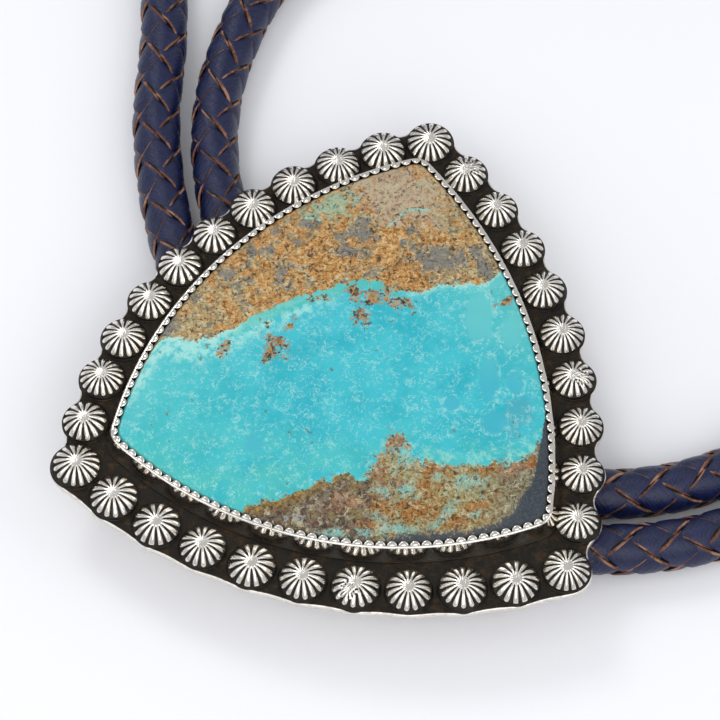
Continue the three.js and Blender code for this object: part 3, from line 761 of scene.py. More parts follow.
    in_band = nodes.step(over, -0.1, 0.1)
    in_matrix = nodes.math("MAXIMUM", nodes.step(under, -0.12, 0.12), nodes.step(below, -0.1, 0.1))
    in_matrix = nodes.math("MAXIMUM", in_matrix, mul(torn("brown", 3.0, 3.0), nodes.step(y, -10.0, -11.0)))
    colour = nodes.mix(in_band, sea, ochre)
    colour = nodes.mix(in_matrix, colour, brown)
    # Painted shade along the stone's edge, where the bezel's teeth overhang it
    colour = paint(colour, nodes.attribute("rim"), "#241f1b", 0.7)
    nodes.feed(shader.inputs["Base Color"], colour)
    host = nodes.math("MAXIMUM", nodes.math("MAXIMUM", in_band, in_matrix), inclusion)
    rough = nodes.blend(host, 0.32, nodes.math("MULTIPLY_ADD", fine, 0.3, 0.32))
    nodes.feed(shader.inputs["Roughness"], rough)
    shader.inputs["Specular IOR Level"].default_value = 0.25
    pits = nodes.step(fine, 0.6, 0.75)
    height = nodes.math("SUBTRACT", nodes.math("MULTIPLY", broken, 0.15), pits)
    nodes.feed(shader.inputs["Normal"], nodes.bump(height, 0.02 * MM))
    return material


def floor_material():
    """Pale paper sweep with the faintest unevenness."""
    material, nodes, shader = new_material("Pale backdrop")
    place = nodes.millimetres()
    mottle = nodes.noise(place, 0.01, detail=2.0)
    nodes.feed(shader.inputs["Base Color"], nodes.mix(mottle, shade("#f1f1f5"), shade("#f5f5f8")))
    shader.inputs["Roughness"].default_value = 0.7
    shader.inputs["Specular IOR Level"].default_value = 0.2
    return material


# Meshes


def add_object(name, mesh):
    piece = bpy.data.objects.new(name, mesh)
    bpy.context.scene.collection.objects.link(piece)
    return piece


def add_attribute(mesh, label, values, kind="FLOAT"):
    layer = mesh.attributes.new(label, kind, "POINT")
    layer.data.foreach_set("value", np.asarray(values, dtype=np.int32 if kind == "INT" else np.float32))


def mesh_object(name, points, faces, material, attributes=None):
    """A smooth mesh object at the origin, from points in millimetres."""
    mesh = bpy.data.meshes.new(name)
    mesh.from_pydata((np.asarray(points) * MM).tolist(), [], faces, shade_flat=False)
    for label, values in (attributes or {}).items():
        add_attribute(mesh, label, values)
    mesh.materials.append(material)
    mesh.update()
    return add_object(name, mesh)


def join_rings(rings, first_pole=None, last_pole=None, wrapped=False, capped=False):
    """Points and faces of a closed skin over rings that run counter-clockwise and go up the outside."""
    levels, count = rings.shape[:2]
    points = [tuple(p) for p in rings.reshape(-1, 3)]
    faces = []
    for level in range(levels if wrapped else levels - 1):
        low = level * count
        high = ((level + 1) % levels) * count
        for i in range(count):
            j = (i + 1) % count
            faces.append((low + i, low + j, high + j, high + i))
    top = (levels - 1) * count
    if first_pole is not None:
        pole = len(points)
        points.append(tuple(first_pole))
        faces.extend((pole, (i + 1) % count, i) for i in range(count))
    if last_pole is not None:
        pole = len(points)
        points.append(tuple(last_pole))
        faces.extend((top + i, top + (i + 1) % count, pole) for i in range(count))
    if capped:
        faces.append(tuple(reversed(range(count))))
        faces.append(tuple(range(top, top + count)))
    return points, faces


def with_height(outline, heights):
    heights = np.broadcast_to(heights, (len(outline),))
    return np.column_stack([outline, heights])


def smooth_share(value, low, high):
    share = np.clip((value - low) / (high - low), 0.0, 1.0)
    return share * share * (3 - 2 * share)


# Outlines of the setting, in millimetres


def bulged_side(start, end, bulge):
    """The arc from start to end that bulges to the right of the way it runs."""
    chord = np.linalg.norm(end - start)
    rise = bulge * chord
    radius = (chord * chord / 4 + rise * rise) / (2 * rise)
    along = (end - start) / chord
    inward = np.array([-along[1], along[0]])
    centre = (start + end) / 2 + inward * (radius - rise)
    first = math.atan2(start[1] - centre[1], start[0] - centre[0])
    half = math.asin(chord / (2 * radius))
    sweep = 2 * half
    return {"centre": centre, "radius": radius, "start": first, "sweep": sweep, "length": sweep * radius}


def on_side(side, share, outward=0.0):
    angle = side["start"] + side["sweep"] * np.asarray(share)
    reach = side["radius"] + outward
    return side["centre"] + np.stack([np.cos(angle) * reach, np.sin(angle) * reach], axis=-1)


def spaced(points, count, closed=False):
    """The points of a line spaced evenly along it."""
    line = np.vstack([points, points[:1]]) if closed else np.asarray(points)
    run = np.concatenate([[0.0], np.cumsum(np.linalg.norm(np.diff(line, axis=0), axis=1))])
    at = np.linspace(0.0, run[-1], count + 1)[:-1] if closed else np.linspace(0.0, run[-1], count)
    return np.column_stack([np.interp(at, run, line[:, k]) for k in range(line.shape[1])]), run[-1]


def offset(outline, distance):
    """Moves each point of a closed counter-clockwise outline outward."""
    along = np.roll(outline, -1, axis=0) - np.roll(outline, 1, axis=0)
    along = along / np.linalg.norm(along, axis=1)[:, None]
    outward = np.column_stack([along[:, 1], -along[:, 0]])
    return outline + outward * np.broadcast_to(distance, (len(outline),))[:, None]


class Outlines:
    """Where the stone's sides, the studs and the plate's edge run."""

    def __init__(self, sizes):
        length = sizes.stone_length / MM
        width = sizes.stone_width / MM
        self.stud_radius = sizes.stud_diameter / MM / 2
        self.stud_pitch = sizes.stud_pitch / MM
        self.corners = [np.array([c["x"] * length, c["y"] * width]) for c in CORNERS]
        self.stud_corners = [p + np.array(c["stud"]) for p, c in zip(self.corners, CORNERS)]
        following = [1, 2, 0]
        self.stone_sides = [
            bulged_side(self.corners[i], self.corners[j], CORNERS[i]["stone_bulge"])
            for i, j in enumerate(following)]
        self.stud_sides = [
            bulged_side(self.stud_corners[i], self.stud_corners[j], CORNERS[i]["stud_bulge"])
            for i, j in enumerate(following)]
        plate = self.plate_edge(5, 3)
        self.shift = -(plate.min(axis=0) + plate.max(axis=0)) / 2

    def stud_count(self, side):
        return max(2, round(side["length"] / self.stud_pitch))

    def fold_line(self, count):
        """The line along which the bezel folds over the stone, and its length."""
        points = []
        for i, side in enumerate(self.stone_sides):
            j = (i + 1) % 3
            trim = CORNER_TRIM / side["length"]
            points.append(on_side(side, np.linspace(trim, 1 - trim, 500)))
            a = on_side(side, 1 - trim)
            b = self.corners[j]
            c = on_side(self.stone_sides[j], CORNER_TRIM / self.stone_sides[j]["length"])
            t = np.linspace(0, 1, 80)[1:-1, None]
            points.append((1 - t) ** 2 * a + 2 * t * (1 - t) * b + t * t * c)
        return spaced(np.vstack(points), count, closed=True)

    def stud_places(self):
        """Middle, turn and share of the full size of each stud."""
        places = []
        for side, corner in zip(self.stud_sides, CORNERS):
            count = self.stud_count(side)
            for k in range(count):
                share = corner["stud_share"] if k else 1.0
                middle = on_side(side, k / count, (1 - share) * self.stud_radius) + self.shift
                places.append((middle[0], middle[1], side["start"] + side["sweep"] * k / count, share))
        return np.array(places)

    def plate_edge(self, steps, corner_steps):
        """The plate's edge: round the corner studs, and scalloped between the studs of a side."""
        points = []
        for i, side in enumerate(self.stud_sides):
            last = self.stud_sides[(i + 2) % 3]
            start = last["start"] + last["sweep"]
            fan = (side["start"] - start) % TAU
            for share in np.arange(corner_steps) / corner_steps:
                angle = start + fan * share
                spoke = np.array([math.cos(angle), math.sin(angle)]) * self.stud_radius
                points.append(self.stud_corners[i] + spoke)
            count = self.stud_count(side)
            for k in range(count * steps):
                notch = math.sin(math.pi * (k % steps) / steps) ** 2
                reach = self.stud_radius - CORNERS[i]["scallop"] * notch
                points.append(on_side(side, k / (count * steps), reach))
        return np.array(points)


# The braided cord


def smooth_route(points, steps=24):
    """Centripetal Catmull-Rom curve through the points."""
    route = []
    last = len(points) - 1
    for i in range(last):
        p1 = points[i]
        p2 = points[i + 1]
        p0 = points[i - 1] if i > 0 else 2 * points[0] - points[1]
        p3 = points[i + 2] if i + 2 <= last else 2 * points[-1] - points[-2]
        d0, d1, d2 = (np.linalg.norm(b - a) ** 0.5 for a, b in ((p0, p1), (p1, p2), (p2, p3)))
        t1 = ((p1 - p0) / d0 - (p2 - p0) / (d0 + d1) + (p2 - p1) / d1) * d1
        t2 = ((p2 - p1) / d1 - (p3 - p1) / (d1 + d2) + (p3 - p2) / d2) * d1
        t = np.linspace(0, 1, steps, endpoint=False)[:, None]
        square = 3 * (p2 - p1) - 2 * t1 - t2
        cube = 2 * (p1 - p2) + t1 + t2
        route.append(p1 + t1 * t + square * t ** 2 + cube * t ** 3)
    return np.vstack(route + [points[-1:]])


def strap_section(name, width, thickness, edge_left, edge_right):
    """Closed section of a strap: a domed face, a slanted raw edge on each side, and a narrow back."""
    half = width / 2
    wrap = 1 / (2 * WRAP_RADIUS)

    def height(across):
        return thickness / 2 - wrap * across ** 2 - STRAP_DOME * (across / half) ** 2

    left = -half + edge_left
    right = half - edge_right
    foot = height(half) - thickness * 0.55
    face = (right - 0.02, right * 0.7, right * 0.35, 0.0, left * 0.5, left + 0.02)
    # The third number is 1 on a raw edge, 0.5 on the foot and back, where the leather material paints crevice
    # shade, and 0 on the face
    section = [(x, height(x), 0.0) for x in face]
    section += [
        (left, height(left) - 0.01, 1.0), (-half, foot, 0.5), (0.0, -thickness / 2, 0.5), (half, foot, 0.5),
        (right, height(right) - 0.01, 1.0),
    ]
    count = len(section)
    ring = [(i, (i + 1) % count) for i in range(count)]
    mesh = bpy.data.meshes.new(name)
    mesh.from_pydata([(y * MM, -x * MM, 0.0) for x, y, _ in section], ring, [])
    add_attribute(mesh, "raw_edge", [raw for _, _, raw in section])
    add_attribute(mesh, "across", [x / half for x, _, _ in section])
    return add_object(name, mesh)


def straps_group():
    """Four straps wound one way round a curve, rising and falling over those wound the other way."""
    tree, nodes, start, end = new_group(
        "Straps one way", "GeometryNodeTree",
        [("Curve", "NodeSocketGeometry", None), ("Section", "NodeSocketObject", None),
         ("Direction", "NodeSocketFloat", 1.0), ("Middle Radius", "NodeSocketFloat", 0.00264),
         ("Weave Depth", "NodeSocketFloat", 0.00034), ("Lead", "NodeSocketFloat", 0.0244),
         ("Straps", "NodeSocketInt", 4)],
        [("Mesh", "NodeSocketGeometry")])
    level = nodes.add("GeometryNodeSetCurveNormal", {"Curve": start["Curve"]}, mode="MINIMUM_TWIST")
    normal = nodes.add("GeometryNodeInputNormal").outputs["Normal"]
    tangent = nodes.add("GeometryNodeInputTangent").outputs["Tangent"]
    run = nodes.add("GeometryNodeSplineParameter").outputs["Length"]
    kept = nodes.add("GeometryNodeCaptureAttribute", {"Geometry": level.outputs["Curve"]})
    fields = (("Normal", "VECTOR", normal), ("Tangent", "VECTOR", tangent), ("Run", "FLOAT", run))
    for label, kind, source in fields:
        kept.capture_items.new(kind, label)
        nodes.feed(kept.inputs[label], source)
    copies = nodes.add("GeometryNodeDuplicateElements", {
        "Geometry": kept.outputs["Geometry"], "Amount": start["Straps"]}, domain="SPLINE")
    phase = nodes.math("DIVIDE", kept.outputs["Run"], start["Lead"])
    share = nodes.math("DIVIDE", copies.outputs["Duplicate Index"], start["Straps"])
    turns = nodes.math("MULTIPLY_ADD", phase, start["Direction"], share)
    angle = nodes.math("MULTIPLY", turns, TAU)
    wave = nodes.math("COSINE", nodes.math("MULTIPLY", phase, 4 * TAU))
    flatter = nodes.math("MULTIPLY_ADD", nodes.math("MULTIPLY", wave, wave), -0.5, 1.5)
    wave = nodes.math("MULTIPLY", nodes.math("MULTIPLY", wave, flatter), start["Direction"])
    lift = nodes.math("MULTIPLY", wave, start["Weave Depth"])
    radius = nodes.math("ADD", start["Middle Radius"], lift)
    side = nodes.vector("CROSS_PRODUCT", kept.outputs["Tangent"], kept.outputs["Normal"])
    spoke = nodes.vector(
        "ADD",
        nodes.vector("SCALE", kept.outputs["Normal"], scale=nodes.math("COSINE", angle)),
        nodes.vector("SCALE", side, scale=nodes.math("SINE", angle)))
    kept_spoke = nodes.add("GeometryNodeCaptureAttribute", {"Geometry": copies.outputs["Geometry"]})
    kept_spoke.capture_items.new("VECTOR", "Spoke")
    nodes.feed(kept_spoke.inputs["Spoke"], spoke)
    marked = nodes.store(kept_spoke.outputs["Geometry"], "strap", copies.outputs["Duplicate Index"])
    lifted = nodes.store(marked, "lift", wave)
    moved = nodes.add("GeometryNodeSetPosition", {
        "Geometry": lifted, "Offset": nodes.vector("SCALE", spoke, scale=radius)})
    faced = nodes.add("GeometryNodeSetCurveNormal", {
        "Curve": moved.outputs["Geometry"], "Normal": kept_spoke.outputs["Spoke"]}, mode="FREE")
    length = nodes.add("GeometryNodeSplineParameter").outputs["Length"]
    measured = nodes.store(faced.outputs["Curve"], "along", length)
    section = nodes.add("GeometryNodeObjectInfo", {"Object": start["Section"]})
    ring = nodes.add("GeometryNodeMeshToCurve", {"Mesh": section.outputs["Geometry"]})
    swept = nodes.add("GeometryNodeCurveToMesh", {
        "Curve": measured, "Profile Curve": ring.outputs["Curve"], "Fill Caps": True})
    nodes.feed(end["Mesh"], swept.outputs["Mesh"])
    return tree


def dress(nodes, geometry, material, end):
    """Ends a geometry tree: makes its instances real and gives them their material."""
    real = nodes.add("GeometryNodeRealizeInstances", {"Geometry": geometry})
    dressed = nodes.add("GeometryNodeSetMaterial", {
        "Geometry": real.outputs["Geometry"], "Material": material})
    nodes.feed(end["Mesh"], dressed.outputs["Geometry"])


def braid_group():
    """Braid of straps wound both ways round a core, along a line."""
    tree, nodes, start, end = new_group(
        "Braided cord", "GeometryNodeTree",
        [("Line", "NodeSocketGeometry", None), ("Section Up", "NodeSocketObject", None),
         ("Section Down", "NodeSocketObject", None), ("Rings", "NodeSocketInt", 1150),
         ("Middle Radius", "NodeSocketFloat", 0.00264), ("Weave Depth", "NodeSocketFloat", 0.00034),
         ("Lead", "NodeSocketFloat", 0.0244), ("Core Radius", "NodeSocketFloat", CORE_RADIUS),
         ("Material", "NodeSocketMaterial", None)],
        [("Mesh", "NodeSocketGeometry")])
    line = nodes.add("GeometryNodeMeshToCurve", {"Mesh": start["Line"]}).outputs["Curve"]
    fine = nodes.add("GeometryNodeResampleCurve", {"Curve": line, "Count": start["Rings"]}).outputs["Curve"]
    straps = straps_group()
    ways = []
    for direction, section in ((1.0, "Section Up"), (-1.0, "Section Down")):
        way = nodes.add("GeometryNodeGroup", node_tree=straps)
        for name, value in (("Curve", fine), ("Section", start[section]), ("Direction", direction),
                            ("Middle Radius", start["Middle Radius"]), ("Weave Depth", start["Weave Depth"]),
                            ("Lead", start["Lead"]), ("Straps", 4)):
            nodes.feed(way.inputs[name], value)
        ways.append(way.outputs["Mesh"])
    sparse = nodes.add("GeometryNodeResampleCurve", {"Curve": line, "Count": CORE_RINGS}).outputs["Curve"]
    circle = nodes.add("GeometryNodeCurvePrimitiveCircle", {
        "Resolution": CORE_SIDES, "Radius": start["Core Radius"]})
    core = nodes.add("GeometryNodeCurveToMesh", {
        "Curve": sparse, "Profile Curve": circle.outputs["Curve"], "Fill Caps": True})
    joined = nodes.add("GeometryNodeJoinGeometry")
    for mesh in (*ways, core.outputs["Mesh"]):
        nodes.tree.links.new(mesh, joined.inputs["Geometry"])
    smooth = nodes.add("GeometryNodeSetShadeSmooth", {"Geometry": joined.outputs["Geometry"]})
    dress(nodes, smooth.outputs["Geometry"], start["Material"], end)
    return tree


def studs_group():
    """Studs of several strikes, one on each point, turned as the point's attribute says."""
    tree, nodes, start, end = new_group(
        "Studs on points", "GeometryNodeTree",
        [("Points", "NodeSocketGeometry", None), ("Strikes", "NodeSocketCollection", None),
         ("Size", "NodeSocketFloat", 1.0), ("Material", "NodeSocketMaterial", None)],
        [("Mesh", "NodeSocketGeometry")])
    strikes = nodes.add("GeometryNodeCollectionInfo", {
        "Collection": start["Strikes"], "Separate Children": True, "Reset Children": True})
    turn, strike, share = (
        nodes.add("GeometryNodeInputNamedAttribute", {"Name": name}, data_type=kind).outputs["Attribute"]
        for name, kind in (("turn", "FLOAT"), ("strike", "INT"), ("share", "FLOAT")))
    spin = nodes.add("ShaderNodeCombineXYZ", {"Z": turn})
    wide = nodes.math("MULTIPLY", share, start["Size"])
    scale = nodes.add("ShaderNodeCombineXYZ", {"X": wide, "Y": wide, "Z": start["Size"]})
    placed = nodes.add("GeometryNodeInstanceOnPoints", {
        "Points": start["Points"], "Instance": strikes.outputs["Instances"], "Pick Instance": True,
        "Instance Index": strike, "Rotation": spin.outputs["Vector"],
        "Scale": scale.outputs["Vector"]})
    dress(nodes, placed.outputs["Instances"], start["Material"], end)
    return tree


def grow(name, base, tree, inputs):
    """Runs a tree on a base object and keeps the result as a plain mesh object."""
    modifier = base.modifiers.new(tree.name, "NODES")
    modifier.node_group = tree
    sockets = {item.name: item.identifier for item in tree.interface.items_tree if item.in_out == "INPUT"}
    for label, value in inputs.items():
        modifier[sockets[label]] = value
    seen = base.evaluated_get(bpy.context.evaluated_depsgraph_get())
    mesh = bpy.data.meshes.new_from_object(seen)
    mesh.name = name
    base.modifiers.remove(modifier)
    bpy.data.objects.remove(base)
    if len(mesh.polygons) == 0:
        raise RuntimeError(f"{name}: its node tree made no faces")
    return add_object(name, mesh)


def stud_mesh(name, sizes, petals, off_centre, blur, second, material):
    """One fluted stud at the origin, its foot sunk in the plate; second is the middle of a slipped strike."""
    radius = sizes.stud_diameter / MM / 2
    height = sizes.stud_height / MM
    angle = np.arange(STUD_SIDES) * TAU / STUD_SIDES
    rings = []
    recess = []

    def dome(r):
        return height - DOME_DROP * (r / DOME_RADIUS) ** DOME_POWER

    # The wall is blackened all round: partly tarnish at the stud's foot, partly painted shade standing in for
    # the dark reflections of the plate and neighbouring studs
    wall = [
        (radius, -ROOT_DEPTH, 1.0), (radius, 0.04, 0.95), (radius - 0.05, 0.09, 0.9),
        (radius - 0.13, 0.11, 1.0),
        (3.06, 0.2, 1.0), (3.04, 0.33, 1.0), (3.0, 0.46, 0.9),
    ]
    for r, h, dark in wall:
        rings.append(np.column_stack([np.cos(angle) * r, np.sin(angle) * r, np.full(STUD_SIDES, h)]))
        recess.append(np.full(STUD_SIDES, dark))
    pitch = TAU / petals
    for r in (2.96, 2.9, 2.82, 2.72, 2.58, 2.4, 2.18, 1.95, 1.7, 1.45, 1.2, 0.95, 0.7, 0.4):
        x = np.cos(angle) * r
        y = np.sin(angle) * r
        star_x = x - off_centre[0]
        star_y = y - off_centre[1]
        star_r = np.hypot(star_x, star_y)
        aside = (np.arctan2(star_y, star_x) + 20 * pitch) % pitch - pitch / 2
        axial = star_r * np.cos(aside)
        lateral = np.abs(star_r * np.sin(aside))
        half_width = PETAL_SHARE * np.maximum(axial, 0.05) * math.tan(pitch / 2)
        ridge = 1 - smooth_share(lateral / half_width, 0.8 - blur, 1.25 + blur)
        end = np.hypot(np.maximum(axial - PETAL_END, 0), lateral) / PETAL_ROUNDING
        ridge = ridge * (1 - smooth_share(end, 0.8, 1.2))
        crown = smooth_share(star_r, 0.6, 1.5)
        dark = (1 - ridge) * smooth_share(star_r, 0.65, 1.05)
        if second:
            slip_r = np.hypot(x - second[0], y - second[1])
            slip_turn = np.arctan2(y - second[1], x - second[0])
            inside = 1 - smooth_share(slip_r, 1.1, 1.35)
            petal = smooth_share(np.cos(slip_turn * SLIPPED_PETALS) + 1.1 - slip_r * 0.5, -0.1, 0.7)
            ridge = ridge * (1 - inside) + petal * inside
            dark = dark * (1 - inside) + (1 - petal) * inside
            crown = np.maximum(crown, 0.6 * inside)
        depth = FLUTE_DEPTH * crown * (1 - 0.7 * smooth_share(star_r, PETAL_END, 2.98))
        crest = CREST_DEPTH * (lateral / half_width) ** 2 * crown
        rings.append(np.column_stack([x, y, dome(r) - np.maximum(depth * (1 - ridge), crest * ridge)]))
        recess.append(dark)
    points, faces = join_rings(np.array(rings), (0, 0, -ROOT_DEPTH), (0, 0, height))
    dark = np.concatenate([*recess, [0.7, 0.0]])
    return mesh_object(name, points, faces, material, {"recess": dark})


# Operators


def finish_piece(piece, node):
    """Parents a piece to the body and hides the CAD solid that it stands for."""
    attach(piece, "root")
    if node:
        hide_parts(node)


class BOLO_OT_stage(bpy.types.Operator):
    """Adds the camera, the pale floor and the soft lights"""

    bl_idname = "bolo.stage"
    bl_label = "Stage"

    def execute(self, context):
        camera = bpy.data.cameras.new("Camera")
        camera.lens = CAMERA_LENS
        camera.sensor_width = 36.0
        camera.clip_start = 0.01
        camera.clip_end = 10.0
        eye = add_object("Camera", camera)
        target = Vector(CAMERA_TARGET) * MM
        tilt = math.radians(CAMERA_TILT)
        back = Vector((0.0, -math.cos(tilt), math.sin(tilt)))
        eye.location = target + back * CAMERA_DISTANCE * MM
        eye.rotation_euler = (-back).to_track_quat("-Z", "Y").to_euler()
        context.scene.camera = eye
        context.scene.view_settings.view_transform = "Standard"

        corners = np.array([(-1, -1, 0), (1, -1, 0), (1, 1, 0), (-1, 1, 0)]) * FLOOR_HALF
        floor = mesh_object("floor", corners / MM, [(0, 1, 2, 3)], floor_material())

        world = bpy.data.worlds.new("Studio")
        world.use_nodes = True
        backdrop = world.node_tree.nodes["Background"]
        backdrop.inputs["Color"].default_value = (0.95, 0.97, 1.0, 1.0)
        backdrop.inputs["Strength"].default_value = 0.57
        context.scene.world = world
        for name, place, size, power in LIGHTS:
            light = bpy.data.lights.new(name, "AREA")
            light.size = size
            light.energy = power
            lamp = add_object(name, light)
            lamp.location = place
            lamp.rotation_euler = (-Vector(place)).to_track_quat("-Z", "Y").to_euler()
        return {"FINISHED"}


def tip_recess(radius, run):
    """How dark a tip is at a point of its outline: dark in its two grooves and in its socket."""
    in_groove = 0.9 < run < 2.35 and radius < 3.95
    in_socket = 0.1 < run < 9.5 and radius <= 3.5
    return 0.9 if in_groove or in_socket else 0.05


class BOLO_OT_tips(bpy.types.Operator):
    """Adds the two turned silver tips"""

    bl_idname = "bolo.tips"
    bl_label = "Tips"

    def execute(self, context):
        route = smooth_route(np.array(CORD_ROUTE))
        material = bpy.data.materials["Silver tips"]
        ends = (("tip_1_turned", route[0], route[3]), ("tip_2_turned", route[-1], route[-4]))
        for name, end, inner in ends:
            away = (end - inner) * (1, 1, 0)
            away = away / np.linalg.norm(away)
            side = np.array([away[1], -away[0], 0.0])
            up = np.array([0.0, 0.0, 1.0])
            mouth = end - away * TIP_SOCKET
            angle = -np.arange(TIP_SIDES) * TAU / TIP_SIDES
            rings = []
            dark = []
            for radius, run in TIP_OUTLINE[1:-1]:
                spokes = np.outer(np.cos(angle), side) + np.outer(np.sin(angle), up)
                rings.append(mouth + away * run + spokes * radius)
                dark.append(np.full(TIP_SIDES, tip_recess(radius, run)))
            points, faces = join_rings(
                np.array(rings), mouth + away * TIP_OUTLINE[0][1], mouth + away * TIP_OUTLINE[-1][1])
            recess = np.concatenate([*dark, [0.9, 0.0]])
            tip = mesh_object(name, points, faces, material, {"recess": recess})
            finish_piece(tip, name[:5])
        return {"FINISHED"}


class BOLO_OT_cord(bpy.types.Operator):
    """Braids the leather cord along its route"""

    bl_idname = "bolo.cord"
    bl_label = "Cord"

    def execute(self, context):
        sizes = context.scene.bolo_cord
        centre, length = spaced(smooth_route(np.array(CORD_ROUTE)), 600)
        mesh = bpy.data.meshes.new("cord route")
        mesh.from_pydata((centre * MM).tolist(), [(i, i + 1) for i in range(len(centre) - 1)], [])
        line = add_object("cord route", mesh)
        width = sizes.strap_width / MM
        thickness = sizes.strap_thickness / MM
        section_up, section_down = (
            strap_section(f"strap section {way}", width, thickness, *edges)
            for way, edges in RAW_EDGES.items())
        middle = sizes.diameter / 2 - sizes.weave_depth - sizes.strap_thickness / 2
        cord = grow("cord_braid", line, braid_group(), {
            "Section Up": section_up, "Section Down": section_down, "Rings": sizes.rings,
            "Middle Radius": middle, "Weave Depth": sizes.weave_depth, "Lead": sizes.lead,
            "Core Radius": CORE_RADIUS, "Material": leather_material()})
        for section in (section_up, section_down):
            bpy.data.objects.remove(section)
        finish_piece(cord, "cord")
        return {"FINISHED"}


class BOLO_OT_plate(bpy.types.Operator):
    """Adds the scalloped back plate"""

    bl_idname = "bolo.plate"
    bl_label = "Back plate"

    def execute(self, context):
        outlines = Outlines(context.scene.bolo_setting)
        edge = outlines.plate_edge(16, 14) + outlines.shift
        levels = [
            (-PLATE_ROUNDING, PLATE_BOTTOM, 0.3), (-0.04, PLATE_BOTTOM + 0.04, 0.1),
            (0.0, PLATE_BOTTOM + PLATE_ROUNDING, 0.1), (0.0, PLATE_TOP - PLATE_ROUNDING, 0.1),
            (-0.04, PLATE_TOP - 0.04, 0.05), (-PLATE_ROUNDING, PLATE_TOP, 0.45),
            (-PLATE_ROUNDING - 0.15, PLATE_TOP, 1.0),
        ]
        rings = np.array([with_height(offset(edge, reach), height) for reach, height, _ in levels])
        dark = np.concatenate([np.full(len(edge), recess) for _, _, recess in levels])
        points, faces = join_rings(rings, capped=True)
        plate = mesh_object(
            "base_plate", points, faces, bpy.data.materials["Silver plate"], {"recess": dark})
        work = bmesh.new()
        work.from_mesh(plate.data)
        caps = [face for face in work.faces if len(face.verts) > 4]
        for face in caps:
            face.smooth = False
        bmesh.ops.triangulate(work, faces=caps)
        work.to_mesh(plate.data)
        work.free()
        finish_piece(plate, "silver_setting")
        return {"FINISHED"}


class BOLO_OT_bezel(bpy.types.Operator):
    """Adds the bezel with its row of rounded teeth"""

    bl_idname = "bolo.bezel"
    bl_label = "Bezel"

    def execute(self, context):
        sizes = context.scene.bolo_setting
        outlines = Outlines(sizes)
        around = outlines.fold_line(400)[1]
        teeth = round(around / (sizes.tooth_pitch / MM))
        count = teeth * TOOTH_SAMPLES
        line = outlines.fold_line(count)[0] + outlines.shift
        across = (np.arange(count) % TOOTH_SAMPLES) / TOOTH_SAMPLES * 2 - 1
        hump = (1 - np.minimum(np.abs(across) / TOOTH_SHARE, 1.0) ** 2.2) ** 0.6
        crown = 1 - across ** 2
        valley = 1 - smooth_share(hump, 0.12, 0.4)
        fold = PLATE_TOP + sizes.bezel_height / MM
        reach = TOOTH_LIP - hump * (TOOTH_REACH + TOOTH_LIP)
        halfway = TOOTH_LIP - hump * (TOOTH_REACH + TOOTH_LIP) * 0.5
        rise = hump * TOOTH_RISE
        levels = [
            (0.8, PLATE_TOP - ROOT_DEPTH, 1.0), (0.8, PLATE_TOP + 0.05, 0.9), (0.76, PLATE_TOP + 0.25, 0.2),
            (0.64, PLATE_TOP + 0.6, 0.0), (0.5, PLATE_TOP + 1.0, 0.0), (0.37, PLATE_TOP + 1.4, 0.0),
            (0.24, PLATE_TOP + 1.8, 0.0), (0.12, PLATE_TOP + 2.15, 0.0), (0.04, fold - 0.2, 0.0),
            (0.0, fold - 0.08, 0.0), (-0.06, fold, 0.0), (-0.2, fold + 0.03, 0.0),
            (TOOTH_LIP, fold + rise * 0.12 + 0.03 * crown, valley),
            (halfway, fold + rise * 0.62 + 0.14 * crown * hump, valley),
            (reach * 0.93, fold + rise * 0.95, valley),
            (reach, fold + rise - 0.05, 0.2 + 0.8 * valley),
            (np.minimum(reach, -BEZEL_THICKNESS), fold + rise - 0.3, 1.0),
            (-BEZEL_THICKNESS, fold - 0.4, 1.0), (-0.05, PLATE_TOP - ROOT_DEPTH, 1.0),
        ]
        rings = np.array([with_height(offset(line, out), height) for out, height, _ in levels])
        dark = np.concatenate([np.broadcast_to(recess, (len(line),)) for _, _, recess in levels])
        points, faces = join_rings(rings, wrapped=True)
        bezel = mesh_object("bezel", points, faces, bpy.data.materials["Silver bezel"], {"recess": dark})
        finish_piece(bezel, "silver_setting")
        return {"FINISHED"}


class BOLO_OT_studs(bpy.types.Operator):
    """Adds the fluted studs round the plate"""

    bl_idname = "bolo.studs"
    bl_label = "Studs"

    def execute(self, context):
        sizes = context.scene.bolo_setting
        outlines = Outlines(sizes)
        material = bpy.data.materials["Silver studs"]
        strikes = bpy.data.collections.new("Stud strikes")
        for number, (petals, off_centre, blur, second) in enumerate(STRIKES):
            strike = stud_mesh(f"strike {number}", sizes, petals, off_centre, blur, second, material)
            context.scene.collection.objects.unlink(strike)
            strikes.objects.link(strike)
        places = outlines.stud_places()
        points = np.column_stack([places[:, :2], np.full(len(places), PLATE_TOP)])
        mesh = bpy.data.meshes.new("stud places")
        mesh.from_pydata((points * MM).tolist(), [], [])
        chance = np.random.default_rng(7)
        add_attribute(mesh, "turn", places[:, 2] + chance.uniform(-0.2, 0.2, len(places)))
        add_attribute(mesh, "share", places[:, 3] - chance.uniform(0.0, 0.05, len(places)))
        add_attribute(mesh, "strike", chance.choice(len(STRIKES), len(places), p=STRIKE_ODDS), "INT")
        base = add_object("stud places", mesh)
        studs = grow("studs", base, studs_group(), {"Strikes": strikes, "Size": 1.0, "Material": material})
        for strike in list(strikes.objects):
            bpy.data.objects.remove(strike)
        bpy.data.collections.remove(strikes)
        finish_piece(studs, "silver_setting")
        return {"FINISHED"}


